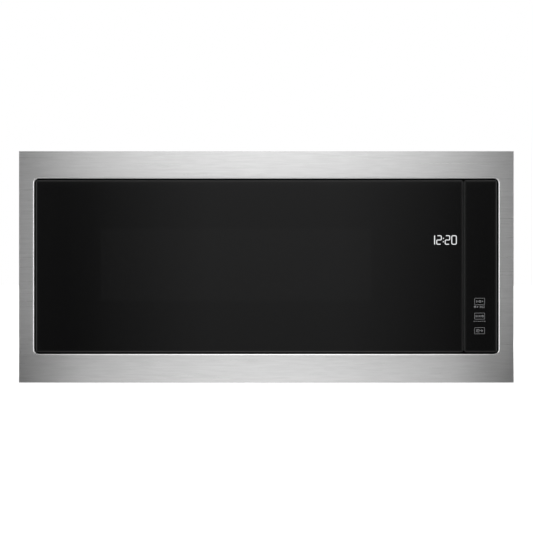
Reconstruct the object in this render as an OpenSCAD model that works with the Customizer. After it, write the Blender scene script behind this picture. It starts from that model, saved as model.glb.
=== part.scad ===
// Built-in microwave oven with a steel trim frame.
// Millimetres. X to the right, front towards -Y, Z up.
// Origin: middle of the cabinet opening's lower front edge, on the shelf.

/* [Cavity] */
// Inside width of the cooking cavity
cavity_w = 520; // [480:1:560]
// Inside height of the cooking cavity
cavity_h = 172; // [160:1:200]
// Inside depth of the cooking cavity
cavity_d = 350; // [345:1:400]
// Inside corner radius of the cavity section
cavity_r = 6; // [3:0.5:12]
// Sheet thickness of the cavity walls
cavity_t = 1; // [0.8:0.1:1.5]

/* [Case] */
// Space between the case's left wall and the cavity
side_gap = 51.4; // [45:0.2:80]
// Width of the component bay right of the cavity
bay_w = 144.6; // [144:0.2:180]
// Space under the cavity
under_floor = 53.5; // [48:0.5:70]
// Space over the cavity
over_roof = 48.5; // [44:0.5:70]
// Space behind the cavity
rear_space = 128.8; // [128:0.2:170]
// Sheet thickness of the case
case_t = 1; // [0.8:0.1:1.5]
// Sheet thickness of the front plate
front_t = 1.2; // [1:0.1:2]
// Height of the support rails
stand_h = 25.5; // [20:0.5:40]
// Sheet thickness of the support rails
rail_t = 1.5; // [1:0.1:2.5]
// How far the rear panel sits inside the case's rear edge
rear_recess = 5; // [4.5:0.1:8]

/* [Trim frame] */
// How far the trim stands out in front of the cabinet
trim_depth = 20; // [18:0.5:26]
// Sheet thickness of the trim
trim_t = 1.2; // [1:0.1:1.6]
// Face width of each side rail
side_rail = 23.5; // [21:0.5:40]
// Face height of the top rail
top_rail = 42; // [25:0.5:60]
// Face height of the bottom rail
bottom_rail = 44; // [38:0.5:60]
// Corner radius of the trim's opening
opening_r = 7; // [4:0.5:12]
// Outer bend radius of the lip round the opening
lip_r = 2; // [1.7:0.1:3]
// How far the trim laps over the case at each side
rim_x = 2; // [1:0.1:4]
// How far the trim laps over the case above and below
rim_z = 2.5; // [1:0.1:4]
// Radius of the cabinet screw holes
cabinet_hole_r = 2.25; // [2:0.05:2.6]
// Height between the cabinet screw holes
cabinet_hole_span = 220; // [180:1:250]

/* [Door and strip] */
// Dark gap between the trim and the glass
face_gap = 2.8; // [2:0.1:4]
// Gap between the door and the control strip
seam_w = 2; // [1.5:0.1:3]
// Width of the control strip
strip_w = 49.9; // [44:0.1:60]
// Thickness of the front glass
glass_t = 4; // [3:0.1:6]
// How far the glass stands out in front of the trim
glass_proud = 10; // [8:0.5:12]
// Corner radius of the glass
glass_r = 3; // [2:0.1:5]
// Ground edge of the glass
glass_edge = 1.2; // [0.5:0.1:1.5]
// Gap between the closed door and the front plate
door_gap = 2; // [1.6:0.1:3]
// How far the moulded frame sits inside the glass
frame_inset = 1.5; // [1:0.1:3]
// Wall of the moulded frames
frame_wall = 2.5; // [2:0.1:4]
// Sheet thickness of the door screen
screen_t = 1; // [0.8:0.1:1.5]
// Width of the choke channel round the cavity mouth
choke_w = 22; // [18:0.5:24]
// How far the choke channel starts outside the cavity mouth
choke_start = 4; // [2:0.5:8]
// Thickness of the inner pane and of the choke cover
pane_t = 3; // [2.5:0.1:4]
// How far the inner pane's edge lies inside the cavity mouth
pane_inset = 10; // [8:0.5:20]

/* [Hinge] */
// Distance from the door's left edge to the hinge axis
hinge_inset = 16; // [15:0.1:17]
// Distance from the back of the glass to the hinge axis
hinge_back = 4; // [3.8:0.1:5]
// Radius of the hinge pins
pin_r = 2; // [1.5:0.1:2.2]
// Thickness of the hinge leaves
leaf_t = 2.5; // [2:0.1:4]
// Drop from the door's edge to the leaf's outer face
leaf_drop = 4.2; // [3.5:0.1:6]

/* [Latch] */
// Distance from the door's right edge to the latch bar's centre
latch_inset = 10.3; // [9:0.1:12]
// Width of the latch bar
latch_w = 10; // [8:0.1:12]
// Travel of the latch bar
latch_travel = 4; // [3:0.1:4.5]
// Height of a hook's arm
hook_h = 6; // [5:0.1:8]
// Width of a hook
hook_w = 6; // [4:0.1:8]
// How far a hook's tip hangs below its arm
hook_drop = 6; // [5:0.1:8]
// How far a hook reaches behind the front plate
hook_reach = 16; // [14:0.1:18]
// Distance of each hook from the cavity's floor and roof
hook_inset = 11; // [8:0.5:20]

/* [Turntable] */
// Radius of the glass tray
tray_r = 160; // [150:1:165]
// Thickness of the glass tray
tray_t = 5; // [4:0.1:7]
// Height of the tray's rim over its floor
tray_rise = 11.4; // [6:0.1:16]
// Radius of each roller
roller_r = 7; // [6:0.1:10]
// Width of each roller
roller_w = 8; // [6:0.1:12]
// Radius of the rollers' track
track_r = 100; // [80:1:120]
// Radius of the turntable motor's can
motor_r = 25; // [22:0.5:28]
// Height of the turntable motor's can
motor_h = 20; // [15:0.5:24]
// Radius of the turntable shaft
shaft_r = 3; // [2.5:0.1:4]

/* [Component bay] */
// Width of the waveguide across the bay
guide_w = 38; // [34:0.5:39]
// Height of the waveguide's section
guide_h = 85; // [70:1:95]
// Length of the waveguide
guide_l = 160; // [140:1:170]
// Width of the magnetron across the bay
magnetron_w = 80; // [74:1:82]
// Depth of the magnetron
magnetron_d = 95; // [80:1:100]
// Height of the magnetron
magnetron_h = 120; // [100:1:124]
// Width of the transformer's core
core_w = 90; // [80:1:96]
// Depth of the transformer's core
core_d = 76; // [60:1:80]
// Height of the transformer's core
core_h = 72; // [60:1:80]
// Radius of the capacitor's can
can_r = 24; // [20:0.5:25]
// Length of the capacitor's can
can_l = 88; // [70:1:95]
// Radius swept by the fan
fan_r = 50; // [40:0.5:52]
// Radius of the fan's shaft
fan_shaft_r = 2; // [1.5:0.1:3]
// Thickness of the circuit boards
board_t = 1.6; // [1.2:0.1:2]
// Radius of the cord bushing's bore
cord_r = 5; // [4:0.1:6]

/* [Fits] */
// Gap between parts that lie next to each other
seat_gap = 0.3; // [0.2:0.05:0.5]
// Radial clearance of a running fit
run_gap = 0.05; // [0.03:0.01:0.1]
// Radius of the small screws
screw_r = 1.9; // [1.5:0.1:2.2]

/* [Hidden] */
$fn = 48;
// Overshoot of a cut past a face
cut = 1;

// Case and cavity box
case_w = side_gap + cavity_w + bay_w;
case_h = under_floor + cavity_h + over_roof;
case_d = front_t + cavity_d + rear_space;
case_x = case_w / 2;
case_z0 = stand_h;
case_z1 = stand_h + case_h;
cav_x0 = side_gap - case_x;
cav_x1 = cav_x0 + cavity_w;
cav_z0 = case_z0 + under_floor;
cav_z1 = cav_z0 + cavity_h;
cav_y1 = front_t + cavity_d;
cav_xc = (cav_x0 + cav_x1) / 2;
cav_zc = (cav_z0 + cav_z1) / 2;
rear_y = case_d - rear_recess;
base_top = case_z0 + case_t;
// Depth of the front plate's folded edge
front_fold = 12;
roof_y = front_t + front_fold;
base_flange = 22;
base_side = 9;

// Support rails and toe strip
rail_w = 40;
rail_x0 = case_x - 18 - rail_w;
rail_l = case_d - 10;
rail_hole_dx = 16;
shelf_holes_y = [70, 370];
toe_foot = 24;
toe_lap = 16;

// Small screws
screw_l = 9;
head_r = screw_r + 1.7;
head_h = 2;

// Wiring passage behind the control strip
wire_x0 = 15;
wire_x1 = 35;
wire_z0 = case_z0 + 30;
wire_z1 = case_z0 + 60;

// Vent slots: width, spacing and number in a row
vent_w = 4;
vent_pitch = 9;
vent_count = 9;
vent_y = cav_y1 + 30;
vent_l = 40;
bay_vents_x = cav_x1 + cavity_t + 30;
left_vents_x = cav_x0 + 30;
intake_pitch = 8;
rear_slot_w = 6;
rear_slots = 16;
grille_hole_r = 1.5;
grille_pitch = 5;

// Trim opening and outline
open_x = case_x - rim_x;
open_z0 = case_z0 + rim_z;
open_z1 = case_z1 - rim_z;
trim_x = open_x + side_rail;
trim_z0 = open_z0 - bottom_rail;
trim_z1 = open_z1 + top_rail;
trim_zc = (trim_z0 + trim_z1) / 2;
lip_end = 2;
bracket_t = 1.5;
bracket_leg = 40;
bracket_end = 8;
bracket_top = trim_zc + cabinet_hole_span / 2 + bracket_end;
bracket_foot = trim_zc - cabinet_hole_span / 2 - bracket_end;
// Height of the bracket's two side screws over and under its middle
bracket_screw_dz = 60;
// Depth of the bracket's side screws behind the cabinet's face
bracket_screw_y = bracket_leg / 2;
// Places of the screws along the case's rear edges
rear_screw_x = case_x - 8;
rear_screw_dz = 14;
top_screws_x = [-200, 0, 200];
top_screw_dz = 7;
rear_flange = 14;
bracket_xc = (case_x + bracket_t + trim_x - trim_t - bracket_t) / 2;

// Face: door and strip
face_x = open_x - face_gap;
face_z0 = open_z0 + face_gap;
face_z1 = open_z1 - face_gap;
strip_x0 = face_x - strip_w;
door_x1 = strip_x0 - seam_w;
glass_y0 = -trim_depth - glass_proud;
glass_y1 = glass_y0 + glass_t;
door_y1 = -door_gap;
frame_x0 = frame_inset - face_x;
frame_x1 = door_x1 - frame_inset;
frame_z0 = face_z0 + frame_inset;
frame_z1 = face_z1 - frame_inset;

// Screen pan and choke
pan = choke_start + choke_w + screen_t;
screen_y1 = door_y1 - pane_t;
wall_y0 = door_y1 - frame_wall;
pocket_rib = 6;
display_dz = 37.7;
display_d = 5.4;

// Hinge
hinge_x = hinge_inset - face_x;
hinge_y = glass_y1 + hinge_back;
leaf_z1 = face_z1 - leaf_drop;
leaf_z0 = face_z0 + leaf_drop;
leaf_end_r = pin_r + 1.6;
leaf_arm_w = 2 * leaf_end_r - 0.8;
// The arm runs back at this angle, so that it clears the glass of the open door
leaf_angle = 60;
leaf_flange_t = 1.5;
leaf_flange_h = 20;
leaf_flange_x0 = hinge_x + 2;
leaf_flange_x1 = hinge_x + 28;
leaf_foot_x0 = 7;
leaf_foot_d = 8;
leaf_screws_x = [hinge_x + 8, hinge_x + 22];
leaf_screw_dz = 12;
leaf_sink_r = screw_r + 1.6;
pin_depth = 16;
pin_head_h = 1.4;
pin_head_r = pin_r + 1.2;
recess_l = 45;
hinge_arc = door_y1 - hinge_y;

// Latch
latch_x = door_x1 - latch_inset;
hook_low = cav_z0 + hook_inset;
hook_high = cav_z1 - hook_inset;
hooks_z = [hook_low, hook_high];
bar_y1 = wall_y0 - seat_gap;
bar_t = 8;
bar_end = 10;
bar_y0 = bar_y1 - bar_t;
bar_z0 = hook_low - bar_end;
bar_z1 = hook_high + bar_end;
guide_rib = 12;
guide_ribs_z = [hook_low + 22, hook_high - 34];
guide_cheek = 2.5;
hook_tip_d = 8;
tip_y0 = hook_reach - hook_tip_d;
slot_side = 1.5;
slot_under = 1;
slot_over = 2;
slot_drop = max(hook_drop, latch_travel) + slot_under;

// Latch spring
spring_z0 = bar_z1 + seat_gap;
spring_z1 = bar_z1 + 20;
spring_y = (bar_y0 + bar_y1) / 2;
spring_r = 2.8;
wire_r = 0.4;
spring_turns = 9;
spring_rings = 12;
wire_sides = 6;

// Release lever and solenoid
lever_w = 5;
pivot_boss = 2;
lever_h = 4;
lever_y = hook_reach + 16;
lever_top = hook_low - hook_drop - seat_gap - 1.5;
lever_z = lever_top - lever_h / 2;
toe_top = hook_low - hook_drop - seat_gap;
toe_l = 4;
latch_plate_x = latch_x + 9;
latch_plate_z0 = cav_z0 - 39;
latch_plate_z1 = cav_z1 + 12;
latch_plate_foot = 16;
latch_plate_t = 3;
latch_plate_d = 62;
plunger_r = 3;
plunger_top = lever_top - lever_h - seat_gap;
plunger_y = lever_y + 20;
coil_half = 9;
coil_end = 2;
coil_z0 = latch_plate_z0 + 1;
coil_z1 = plunger_top - 12;
switch_w = 10;
switch_d = 28;
switch_h = 15.6;
button_l = 1.5;
switch_pegs = [6, 22];
peg_r = 1.4;
switch_y0 = hook_reach + seat_gap + button_l;
switch_z = [hook_low - 1.5, hook_high - 1.9 - switch_h, hook_high - 1.6];
button_z = [2.5, 13, 2.4];

// Turntable
table_y = front_t + cavity_d / 2;
axle_r = 2;
roller_z = cav_z0 + seat_gap + roller_r;
tray_z = roller_z + roller_r + seat_gap;
// Width of the tray's sloping rim
tray_rim = 22;
ring_w = 10;
ring_h = 6;
ring_r = track_r - roller_w / 2 - 2;
axle_head = 1.5;
hub_r = 11;
lug_l = 24;
lug_h = 5;
motor_ear = 8;

// Cavity lamp
lamp_x = cav_x1 - 105;
lamp_y = table_y + 98;
lamp_box_h = 30;
lamp_box_t = 1;
lamp_base_r = 7;

// Bay
bay_x0 = cav_x1 + cavity_t;
bay_x1 = case_x - case_t;
guide_x1 = bay_x0 + guide_w;
guide_y0 = 90;
guide_z0 = cav_z0 + 71;
port_y0 = guide_y0 + 60;
port_y1 = guide_y0 + 130;
port_inset = 15;
cover_t = 1;
cover_lap_y = 12;
cover_lap_z = port_inset - 8;
magnetron_x0 = guide_x1;
magnetron_y0 = guide_y0 + 60;
magnetron_zc = guide_z0 + 40;
yoke_t = 2;
antenna_r = 9;
antenna_l = 16;
anode_r = 20;
filter_r = 15;
filter_half = 26;
// Depth of the filter box on the magnetron's outer end
filter_box = 18;
fin_t = 0.8;
fin_pitch = 8;
fin_start = 10;
fin_end = 6;
fin_inset_y = 4;
fin_inset_z = 10;
magnetron_y1 = magnetron_y0 + magnetron_d;
core_x = bay_x0 + 66;
core_y = cav_y1 - 41.2;
core_lift = 3;
// Width of the core's outer legs and height of its yokes
core_leg = 13;
window_half = 11;
winding_out = 14;
can_x = bay_x0 + 70;
tab_l = 9;
diode_dx = 34;
diode_r = 4;
diode_l = 20;
diode_foot = 3;
// Room between the can and the windings behind it
can_space = 18;
can_y0 = core_y - core_d / 2 - winding_out - can_space - can_l;
can_z = base_top + can_r + 3;
fan_x = bay_x0 + 72;
fan_z = magnetron_zc;
shroud_y0 = cav_y1 + 42;
shroud_d = 38;
shroud_half = fan_r + 8;
fan_plane = shroud_y0 + 20;
fan_motor_d = 28;
stack_half = 24;
stack_d = 16;
stack_up = 40;
stack_down = 20;
bearing_r = 11;
motor_coil_half = 17;
motor_coil_lap = 4;
motor_bar_t = 3;
bar_half = 14;
foot_dx = 46;
foot_half = 8;
blade_gap = 3;
blades = 5;
blade_pitch = 32;
blade_w = 30;
blade_t = 1.8;
board_x = bay_x1 - 17;
board_y0 = 72;
board_y1 = 232;
board_z0 = cav_z0 - 13;
board_z1 = cav_z0 + 127;
inlet_x = bay_x0 + 30;
inlet_z = base_top + 33.5;
neck_r = cord_r + 3;
bush_lip = 3;
bush_half = 4;
duct_y0 = max(guide_y0 + guide_l, magnetron_y1) + 1;
duct_half = shroud_half - 10;
duct_t = 1.5;

// Parts of the control board
relay_pitch = 22;
relay_w = 16;
relay_h = 15;
relay_l = 28;
small_core = 36;
small_core_t = 12;
small_core_h = 30;
low_row = 14;
// Smoothing capacitor beside the small transformer
drum_l = 14;
drum_up = 30;
socket_w = 60;
socket_h = 10;
socket_end = 12;
socket_up = 4;
chip_w = 20;
chip_t = 2.5;
chip_dy = 50;
chip_up = 52;

// Noise filter board on posts above the fan
filter_board_w = 92;
filter_board_d = 80;
filter_board_lift = 16;
filter_board_x0 = fan_x - duct_half + 2;
filter_board_y1 = cav_y1 + 10;
post_r = 3;
post_inset = 8;
post_dx = 20;
choke_coil_r = 12;
choke_coil_h = 18;
small_cap_y0 = 10;
small_cap_w = 14;
small_cap_drop = 1;
large_cap_y0 = 36;
large_cap_w = 16;
large_cap_drop = 4;

// Shared shapes

module box(x0, x1, y0, y1, z0, z1) {
    translate([x0, y0, z0]) cube([x1 - x0, y1 - y0, z1 - z0]);
}

module rod_x(x0, x1, y, z, r) {
    translate([x0, y, z]) rotate([0, 90, 0]) cylinder(r = r, h = x1 - x0);
}

module rod_y(x, y0, y1, z, r) {
    translate([x, y0, z]) rotate([-90, 0, 0]) cylinder(r = r, h = y1 - y0);
}

module rod_z(x, y, z0, z1, r) {
    translate([x, y, z0]) cylinder(r = r, h = z1 - z0);
}

// Rounded rectangle in the XZ plane, from one corner to the other
module round_rect(x0, x1, z0, z1, r) {
    translate([x0 + r, z0]) square([x1 - x0 - 2 * r, z1 - z0]);
    translate([x0, z0 + r]) square([x1 - x0, z1 - z0 - 2 * r]);
    for (x = [x0 + r, x1 - r], z = [z0 + r, z1 - r])
        translate([x, z]) circle(r);
}

// Rounded rectangle made into a slab between two depths
module slab(x0, x1, z0, z1, r, y0, y1) {
    translate([0, y1, 0]) rotate([90, 0, 0]) linear_extrude(y1 - y0) round_rect(x0, x1, z0, z1, r);
}

// Front glass: a slab with its four front edges ground at 45 degrees
module ground_slab(x0, x1, z0, z1) {
    side = glass_edge * sqrt(2);
    difference() {
        slab(x0, x1, z0, z1, glass_r, glass_y0, glass_y1);
        for (x = [x0, x1])
            translate([x, glass_y0, z0 - cut]) rotate([0, 0, 45])
                translate([-side / 2, -side / 2, 0]) cube([side, side, z1 - z0 + 2 * cut]);
        for (z = [z0, z1])
            translate([x0 - cut, glass_y0, z]) rotate([45, 0, 0])
                translate([0, -side / 2, -side / 2]) cube([x1 - x0 + 2 * cut, side, side]);
    }
}

// A row of vent slots through a sheet that lies flat
module slots_z(x0, y0, z0, z1, l) {
    for (i = [0 : vent_count - 1])
        box(x0 + i * vent_pitch, x0 + i * vent_pitch + vent_w, y0, y0 + l, z0, z1);
}

// Pan-head screw along +Y, its head's underside at y
module screw_y(x, y, z) {
    rod_y(x, y - screw_l, y, z, screw_r);
    rod_y(x, y, y + head_h, z, head_r);
}

// Trim and its mounting

// Section of the rolled lip: u grows away from the opening, v towards the front
module lip_section() {
    difference() {
        translate([lip_r, trim_depth - lip_r]) circle(lip_r);
        translate([lip_r, trim_depth - lip_r]) circle(lip_r - trim_t);
        translate([lip_r, -cut]) square([lip_r + cut, trim_depth + 2 * cut]);
        translate([-cut, -cut]) square([lip_r + 2 * cut, trim_depth - lip_r + cut]);
    }
    translate([0, lip_end]) square([trim_t, trim_depth - lip_r - lip_end]);
}

module lip_corner() {
    rotate([90, 0, 0]) rotate_extrude(angle = 90) translate([opening_r, 0]) lip_section();
}

module trim_frame() {
    inner = lip_r;
    color("#c9c9c9") {
        difference() {
            box(-trim_x, trim_x, -trim_depth, 0, trim_z0, trim_z1);
            box(-trim_x + trim_t, trim_x - trim_t, -trim_depth + trim_t, cut,
                trim_z0 + trim_t, trim_z1 - trim_t);
            slab(-open_x - inner, open_x + inner, open_z0 - inner, open_z1 + inner,
                 opening_r + inner, -trim_depth - cut, cut);
        }
        // Sides of the rolled lip
        for (s = [0, 1]) mirror([s, 0, 0]) {
            translate([open_x, 0, open_z0 + opening_r])
                linear_extrude(open_z1 - open_z0 - 2 * opening_r) mirror([0, 1]) lip_section();
            for (t = [0, 1])
                translate([open_x - opening_r, 0, t == 0 ? open_z1 - opening_r : open_z0 + opening_r])
                    mirror([0, 0, t]) lip_corner();
        }
        // Top and bottom of the rolled lip
        for (t = [0, 1])
            translate([opening_r - open_x, 0, t == 0 ? open_z1 : open_z0]) mirror([0, 0, t])
                rotate([90, 0, 90]) linear_extrude(2 * (open_x - opening_r))
                    rotate(90) lip_section();
    }
}

module trim_bracket() {
    outer = trim_x - trim_t;
    difference() {
        union() {
            box(case_x, case_x + bracket_t, -bracket_t, bracket_leg, bracket_foot, bracket_top);
            box(case_x, outer, -bracket_t, 0, bracket_foot, bracket_top);
            box(outer - bracket_t, outer, -trim_depth + trim_t, 0, bracket_foot, bracket_top);
        }
        for (z = [-1, 1])
            rod_y(bracket_xc, -bracket_t - cut, cut, trim_zc + z * cabinet_hole_span / 2, cabinet_hole_r);
        for (z = [-1, 1])
            rod_x(case_x - cut, case_x + bracket_t + cut, bracket_screw_y,
                  trim_zc + z * bracket_screw_dz, screw_r + run_gap);
    }
}

module trim_bracket_left() {
    color("#9a9a9a") mirror([1, 0, 0]) trim_bracket();
}

module trim_bracket_right() {
    color("#9a9a9a") trim_bracket();
}

module case_screws() {
    color("#b0b0b0") {
        for (s = [-1, 1], z = [case_z0 + rear_screw_dz, case_z1 - rear_screw_dz])
            screw_y(s * rear_screw_x, rear_y + case_t, z);
        for (x = top_screws_x)
            screw_y(x, rear_y + case_t, case_z1 - top_screw_dz);
        for (s = [0, 1], z = [-1, 1]) mirror([s, 0, 0]) {
            rod_x(case_x + bracket_t - screw_l, case_x + bracket_t, bracket_screw_y,
                  trim_zc + z * bracket_screw_dz, screw_r);
            rod_x(case_x + bracket_t, case_x + bracket_t + head_h, bracket_screw_y,
                  trim_zc + z * bracket_screw_dz, head_r);
        }
    }
}

module support_rail() {
    x0 = rail_x0;
    x1 = rail_x0 + rail_w;
    difference() {
        union() {
            box(x0, x1, 0, rail_l, 0, rail_t);
            box(x1 - rail_t, x1, 0, rail_l, 0, stand_h);
            box(x0, x1, 0, rail_l, stand_h - rail_t, stand_h);
        }
        for (y = shelf_holes_y)
            rod_z(x0 + rail_hole_dx, y, -cut, rail_t + cut, cabinet_hole_r);
    }
}

module support_rail_left() {
    color("#a8a8a8") mirror([1, 0, 0]) support_rail();
}

module support_rail_right() {
    color("#a8a8a8") support_rail();
}

module toe_strip() {
    x = rail_x0;
    color("#8e8e8e") {
        box(-x, x, 0, toe_foot, 0, rail_t);
        box(-x, x, 0, rail_t, 0, stand_h);
        box(-x, x, 0, toe_lap, stand_h - rail_t, stand_h);
    }
}

// Case and cavity

module front_plate() {
    x = case_x - case_t;
    z0 = case_z0 + case_t;
    z1 = case_z1 - case_t;
    color("#141414") difference() {
        union() {
            box(-x, x, 0, front_t, z0, z1);
            difference() {
                box(-x, x, 0, roof_y, z0, z1);
                box(-x + front_t, x - front_t, -cut, roof_y + cut, z0 + front_t, z1 - front_t);
            }
        }
        slab(cav_x0, cav_x1, cav_z0, cav_z1, cavity_r, -cut, front_t + cut);
        for (z = hooks_z)
            box(latch_x - hook_w / 2 - slot_side, latch_x + hook_w / 2 + slot_side, -cut, front_t + cut,
                z - hook_drop - slot_under, z + hook_h + slot_over);
        // Wiring passage behind the control strip
        box(strip_x0 + wire_x0, strip_x0 + wire_x1, -cut, front_t + cut, wire_z0, wire_z1);
        for (x = leaf_screws_x, z = [leaf_z1 - leaf_screw_dz, leaf_z0 + leaf_screw_dz])
            rod_y(x, -cut, front_t + cut, z, screw_r + run_gap);
    }
}

module cavity_shell() {
    t = cavity_t;
    color("#8a8c8e") difference() {
        slab(cav_x0 - t, cav_x1 + t, cav_z0 - t, cav_z1 + t, cavity_r + t, front_t, cav_y1 + t);
        slab(cav_x0, cav_x1, cav_z0, cav_z1, cavity_r, front_t - cut, cav_y1);
        box(cav_x1 - cut, cav_x1 + t + cut, port_y0, port_y1, guide_z0 + port_inset,
            guide_z0 + guide_h - port_inset);
        rod_z(cav_xc, table_y, cav_z0 - t - cut, cav_z0 + cut, shaft_r + 3);
        // Lamp grille in the roof
        for (i = [0 : 6], j = [0 : 3])
            rod_z(lamp_x + (i - 3) * grille_pitch, lamp_y + (j - 1.5) * grille_pitch,
                  cav_z1 - cut, cav_z1 + t + cut, grille_hole_r);
        // Exhaust grille in the left wall
        for (i = [0 : 9], j = [0 : 3])
            rod_x(cav_x0 - t - cut, cav_x0 + cut, cav_y1 - 70 + i * grille_pitch,
                  cav_z1 - 35 + j * grille_pitch, grille_hole_r);
    }
}

module base_plate() {
    color("#b4b6b8") difference() {
        union() {
            box(-case_x, case_x, 0, case_d, case_z0, case_z0 + case_t);
            box(-case_x + case_t, case_x - case_t, rear_y - case_t, rear_y, case_z0, case_z0 + base_flange);
            for (s = [0, 1]) mirror([s, 0, 0])
                box(case_x - 2 * case_t, case_x - case_t, roof_y, rear_y, case_z0, case_z0 + base_side);
        }
        for (x = [bay_vents_x, left_vents_x])
            slots_z(x, vent_y, case_z0 - cut, case_z0 + case_t + cut, vent_l);
        for (s = [-1, 1])
            rod_y(s * rear_screw_x, rear_y - case_t - cut, rear_y + cut, case_z0 + rear_screw_dz,
                  screw_r + run_gap);
    }
}

module outer_case() {
    x = case_x - case_t;
    z1 = case_z1 - case_t;
    color("#b9bbbd") difference() {
        union() {
            difference() {
                box(-case_x, case_x, 0, case_d, base_top, case_z1);
                box(-x, x, -cut, case_d + cut, base_top - cut, z1);
            }
            // Rear flange that the rear panel is screwed to
            difference() {
                box(-x, x, rear_y - case_t, rear_y, base_top + base_flange, z1);
                box(-x + rear_flange, x - rear_flange, rear_y - case_t - cut, rear_y + cut,
                    base_top + base_flange - cut, z1 - rear_flange);
            }
        }
        for (i = [0 : vent_count - 1]) {
            left_y = cav_y1 - 80 + i * vent_pitch;
            right_y = cav_y1 + 10 + i * vent_pitch;
            box(-case_x - cut, -x + cut, left_y, left_y + vent_w, cav_z1 - 60, cav_z1);
            box(x - cut, case_x + cut, right_y, right_y + vent_w, cav_zc - 30, cav_zc + 40);
        }
        for (x = [bay_vents_x, left_vents_x])
            slots_z(x, vent_y, z1 - cut, case_z1 + cut, vent_l);
        for (s = [-1, 1])
            rod_y(s * rear_screw_x, rear_y - case_t - cut, rear_y + cut, case_z1 - rear_screw_dz,
                  screw_r + run_gap);
        for (x = top_screws_x)
            rod_y(x, rear_y - case_t - cut, rear_y + cut, case_z1 - top_screw_dz, screw_r + run_gap);
        for (s = [0, 1], z = [-1, 1]) mirror([s, 0, 0])
            rod_x(x - cut, case_x + cut, bracket_screw_y, trim_zc + z * bracket_screw_dz,
                  screw_r + run_gap);
    }
}

module rear_panel() {
    x = case_x - case_t;
    color("#b4b6b8") difference() {
        box(-x, x, rear_y, rear_y + case_t, base_top, case_z1 - case_t);
        // Fan intake: slots inside a circle
        rows = floor((fan_r - vent_w) / intake_pitch);
        for (i = [-rows : rows]) {
            half = sqrt(pow(fan_r, 2) - pow(i * intake_pitch, 2));
            z = fan_z + i * intake_pitch;
            box(fan_x - half, fan_x + half, rear_y - cut, rear_y + case_t + cut,
                z - vent_w / 2, z + vent_w / 2);
        }
        for (i = [0 : rear_slots - 1]) {
            slot_x = left_vents_x + 2 * i * rear_slot_w;
            box(slot_x, slot_x + rear_slot_w, rear_y - cut, rear_y + case_t + cut,
                cav_z0 + 20, cav_z0 + 70);
        }
        rod_y(inlet_x, rear_y - cut, rear_y + case_t + cut, inlet_z, neck_r + run_gap);
        for (s = [-1, 1], z = [case_z0 + rear_screw_dz, case_z1 - rear_screw_dz])
            rod_y(s * rear_screw_x, rear_y - cut, rear_y + case_t + cut, z, screw_r + run_gap);
        for (x = top_screws_x)
            rod_y(x, rear_y - cut, rear_y + case_t + cut, case_z1 - top_screw_dz, screw_r + run_gap);
    }
}

module cord_bushing() {
    color("#202020") difference() {
        union() {
            rod_y(inlet_x, rear_y - bush_half, rear_y + bush_half, inlet_z, neck_r);
            rod_y(inlet_x, rear_y + case_t, rear_y + bush_half, inlet_z, neck_r + bush_lip);
            rod_y(inlet_x, rear_y - bush_half, rear_y - case_t, inlet_z, neck_r + bush_lip);
        }
        rod_y(inlet_x, rear_y - bush_half - cut, rear_y + bush_half + cut, inlet_z, cord_r);
    }
}

// Hinges

// Upper leaf, drawn with its top face at z; the lower one is its mirror image
module hinge_leaf(z) {
    difference() {
        union() {
            translate([hinge_x, hinge_y, z - leaf_t]) linear_extrude(leaf_t) {
                circle(leaf_end_r);
                intersection() {
                    rotate(leaf_angle) translate([0, -leaf_arm_w / 2]) square([-2 * hinge_y, leaf_arm_w]);
                    translate([-leaf_end_r, -leaf_end_r]) square([-2 * hinge_y, leaf_end_r - hinge_y]);
                }
                translate([leaf_foot_x0, -hinge_y - leaf_foot_d])
                    square([leaf_flange_x1 - hinge_x - leaf_foot_x0, leaf_foot_d]);
            }
            box(leaf_flange_x0, leaf_flange_x1, -leaf_flange_t, 0, z - leaf_flange_h, z);
        }
        rod_z(hinge_x, hinge_y, z - leaf_t - cut, z + cut, pin_r + run_gap);
        for (x = leaf_screws_x) {
            rod_y(x, -leaf_flange_t - cut, cut, z - leaf_screw_dz, screw_r + run_gap);
            translate([x, -leaf_flange_t, z - leaf_screw_dz]) rotate([-90, 0, 0])
                cylinder(r1 = leaf_sink_r, r2 = screw_r + run_gap, h = leaf_flange_t);
        }
    }
}

module hinge_leaf_upper() {
    color("#8f9194") hinge_leaf(leaf_z1);
}

module hinge_leaf_lower() {
    color("#8f9194") translate([0, 0, leaf_z0]) mirror([0, 0, 1]) hinge_leaf(0);
}

module hinge_screws() {
    color("#a0a0a0") for (x = leaf_screws_x, z = [leaf_z1 - leaf_screw_dz, leaf_z0 + leaf_screw_dz]) {
        rod_y(x, -leaf_flange_t + 2 * run_gap, screw_l, z, screw_r);
        translate([x, -leaf_flange_t + run_gap, z]) rotate([-90, 0, 0])
            cylinder(r1 = leaf_sink_r - 0.2, r2 = screw_r, h = leaf_flange_t - 0.2);
    }
}

// Upper pin stands in the door frame and passes up through the leaf
module hinge_pin(z) {
    rod_z(hinge_x, hinge_y, z - leaf_t - pin_depth, z + seat_gap, pin_r);
    rod_z(hinge_x, hinge_y, z + seat_gap, z + seat_gap + pin_head_h, pin_head_r);
}

module hinge_pin_upper() {
    color("#c4c4c4") hinge_pin(leaf_z1);
}

module hinge_pin_lower() {
    color("#c4c4c4") translate([0, 0, leaf_z0]) mirror([0, 0, 1]) hinge_pin(0);
}

// Control strip

module strip_glass() {
    color("#0c0c0c") ground_slab(strip_x0, face_x, face_z0, face_z1);
}

module strip_housing() {
    x0 = strip_x0 + frame_inset;
    x1 = face_x - frame_inset;
    color("#1b1b1b") difference() {
        slab(x0, x1, frame_z0, frame_z1, glass_r, glass_y1, 0);
        box(x0 + frame_wall, x1 - frame_wall, glass_y1 - cut, -frame_wall,
            frame_z0 + frame_wall, frame_z1 - frame_wall);
        box(strip_x0 + wire_x0, strip_x0 + wire_x1, -frame_wall - cut, cut, wire_z0, wire_z1);
    }
}

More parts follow.
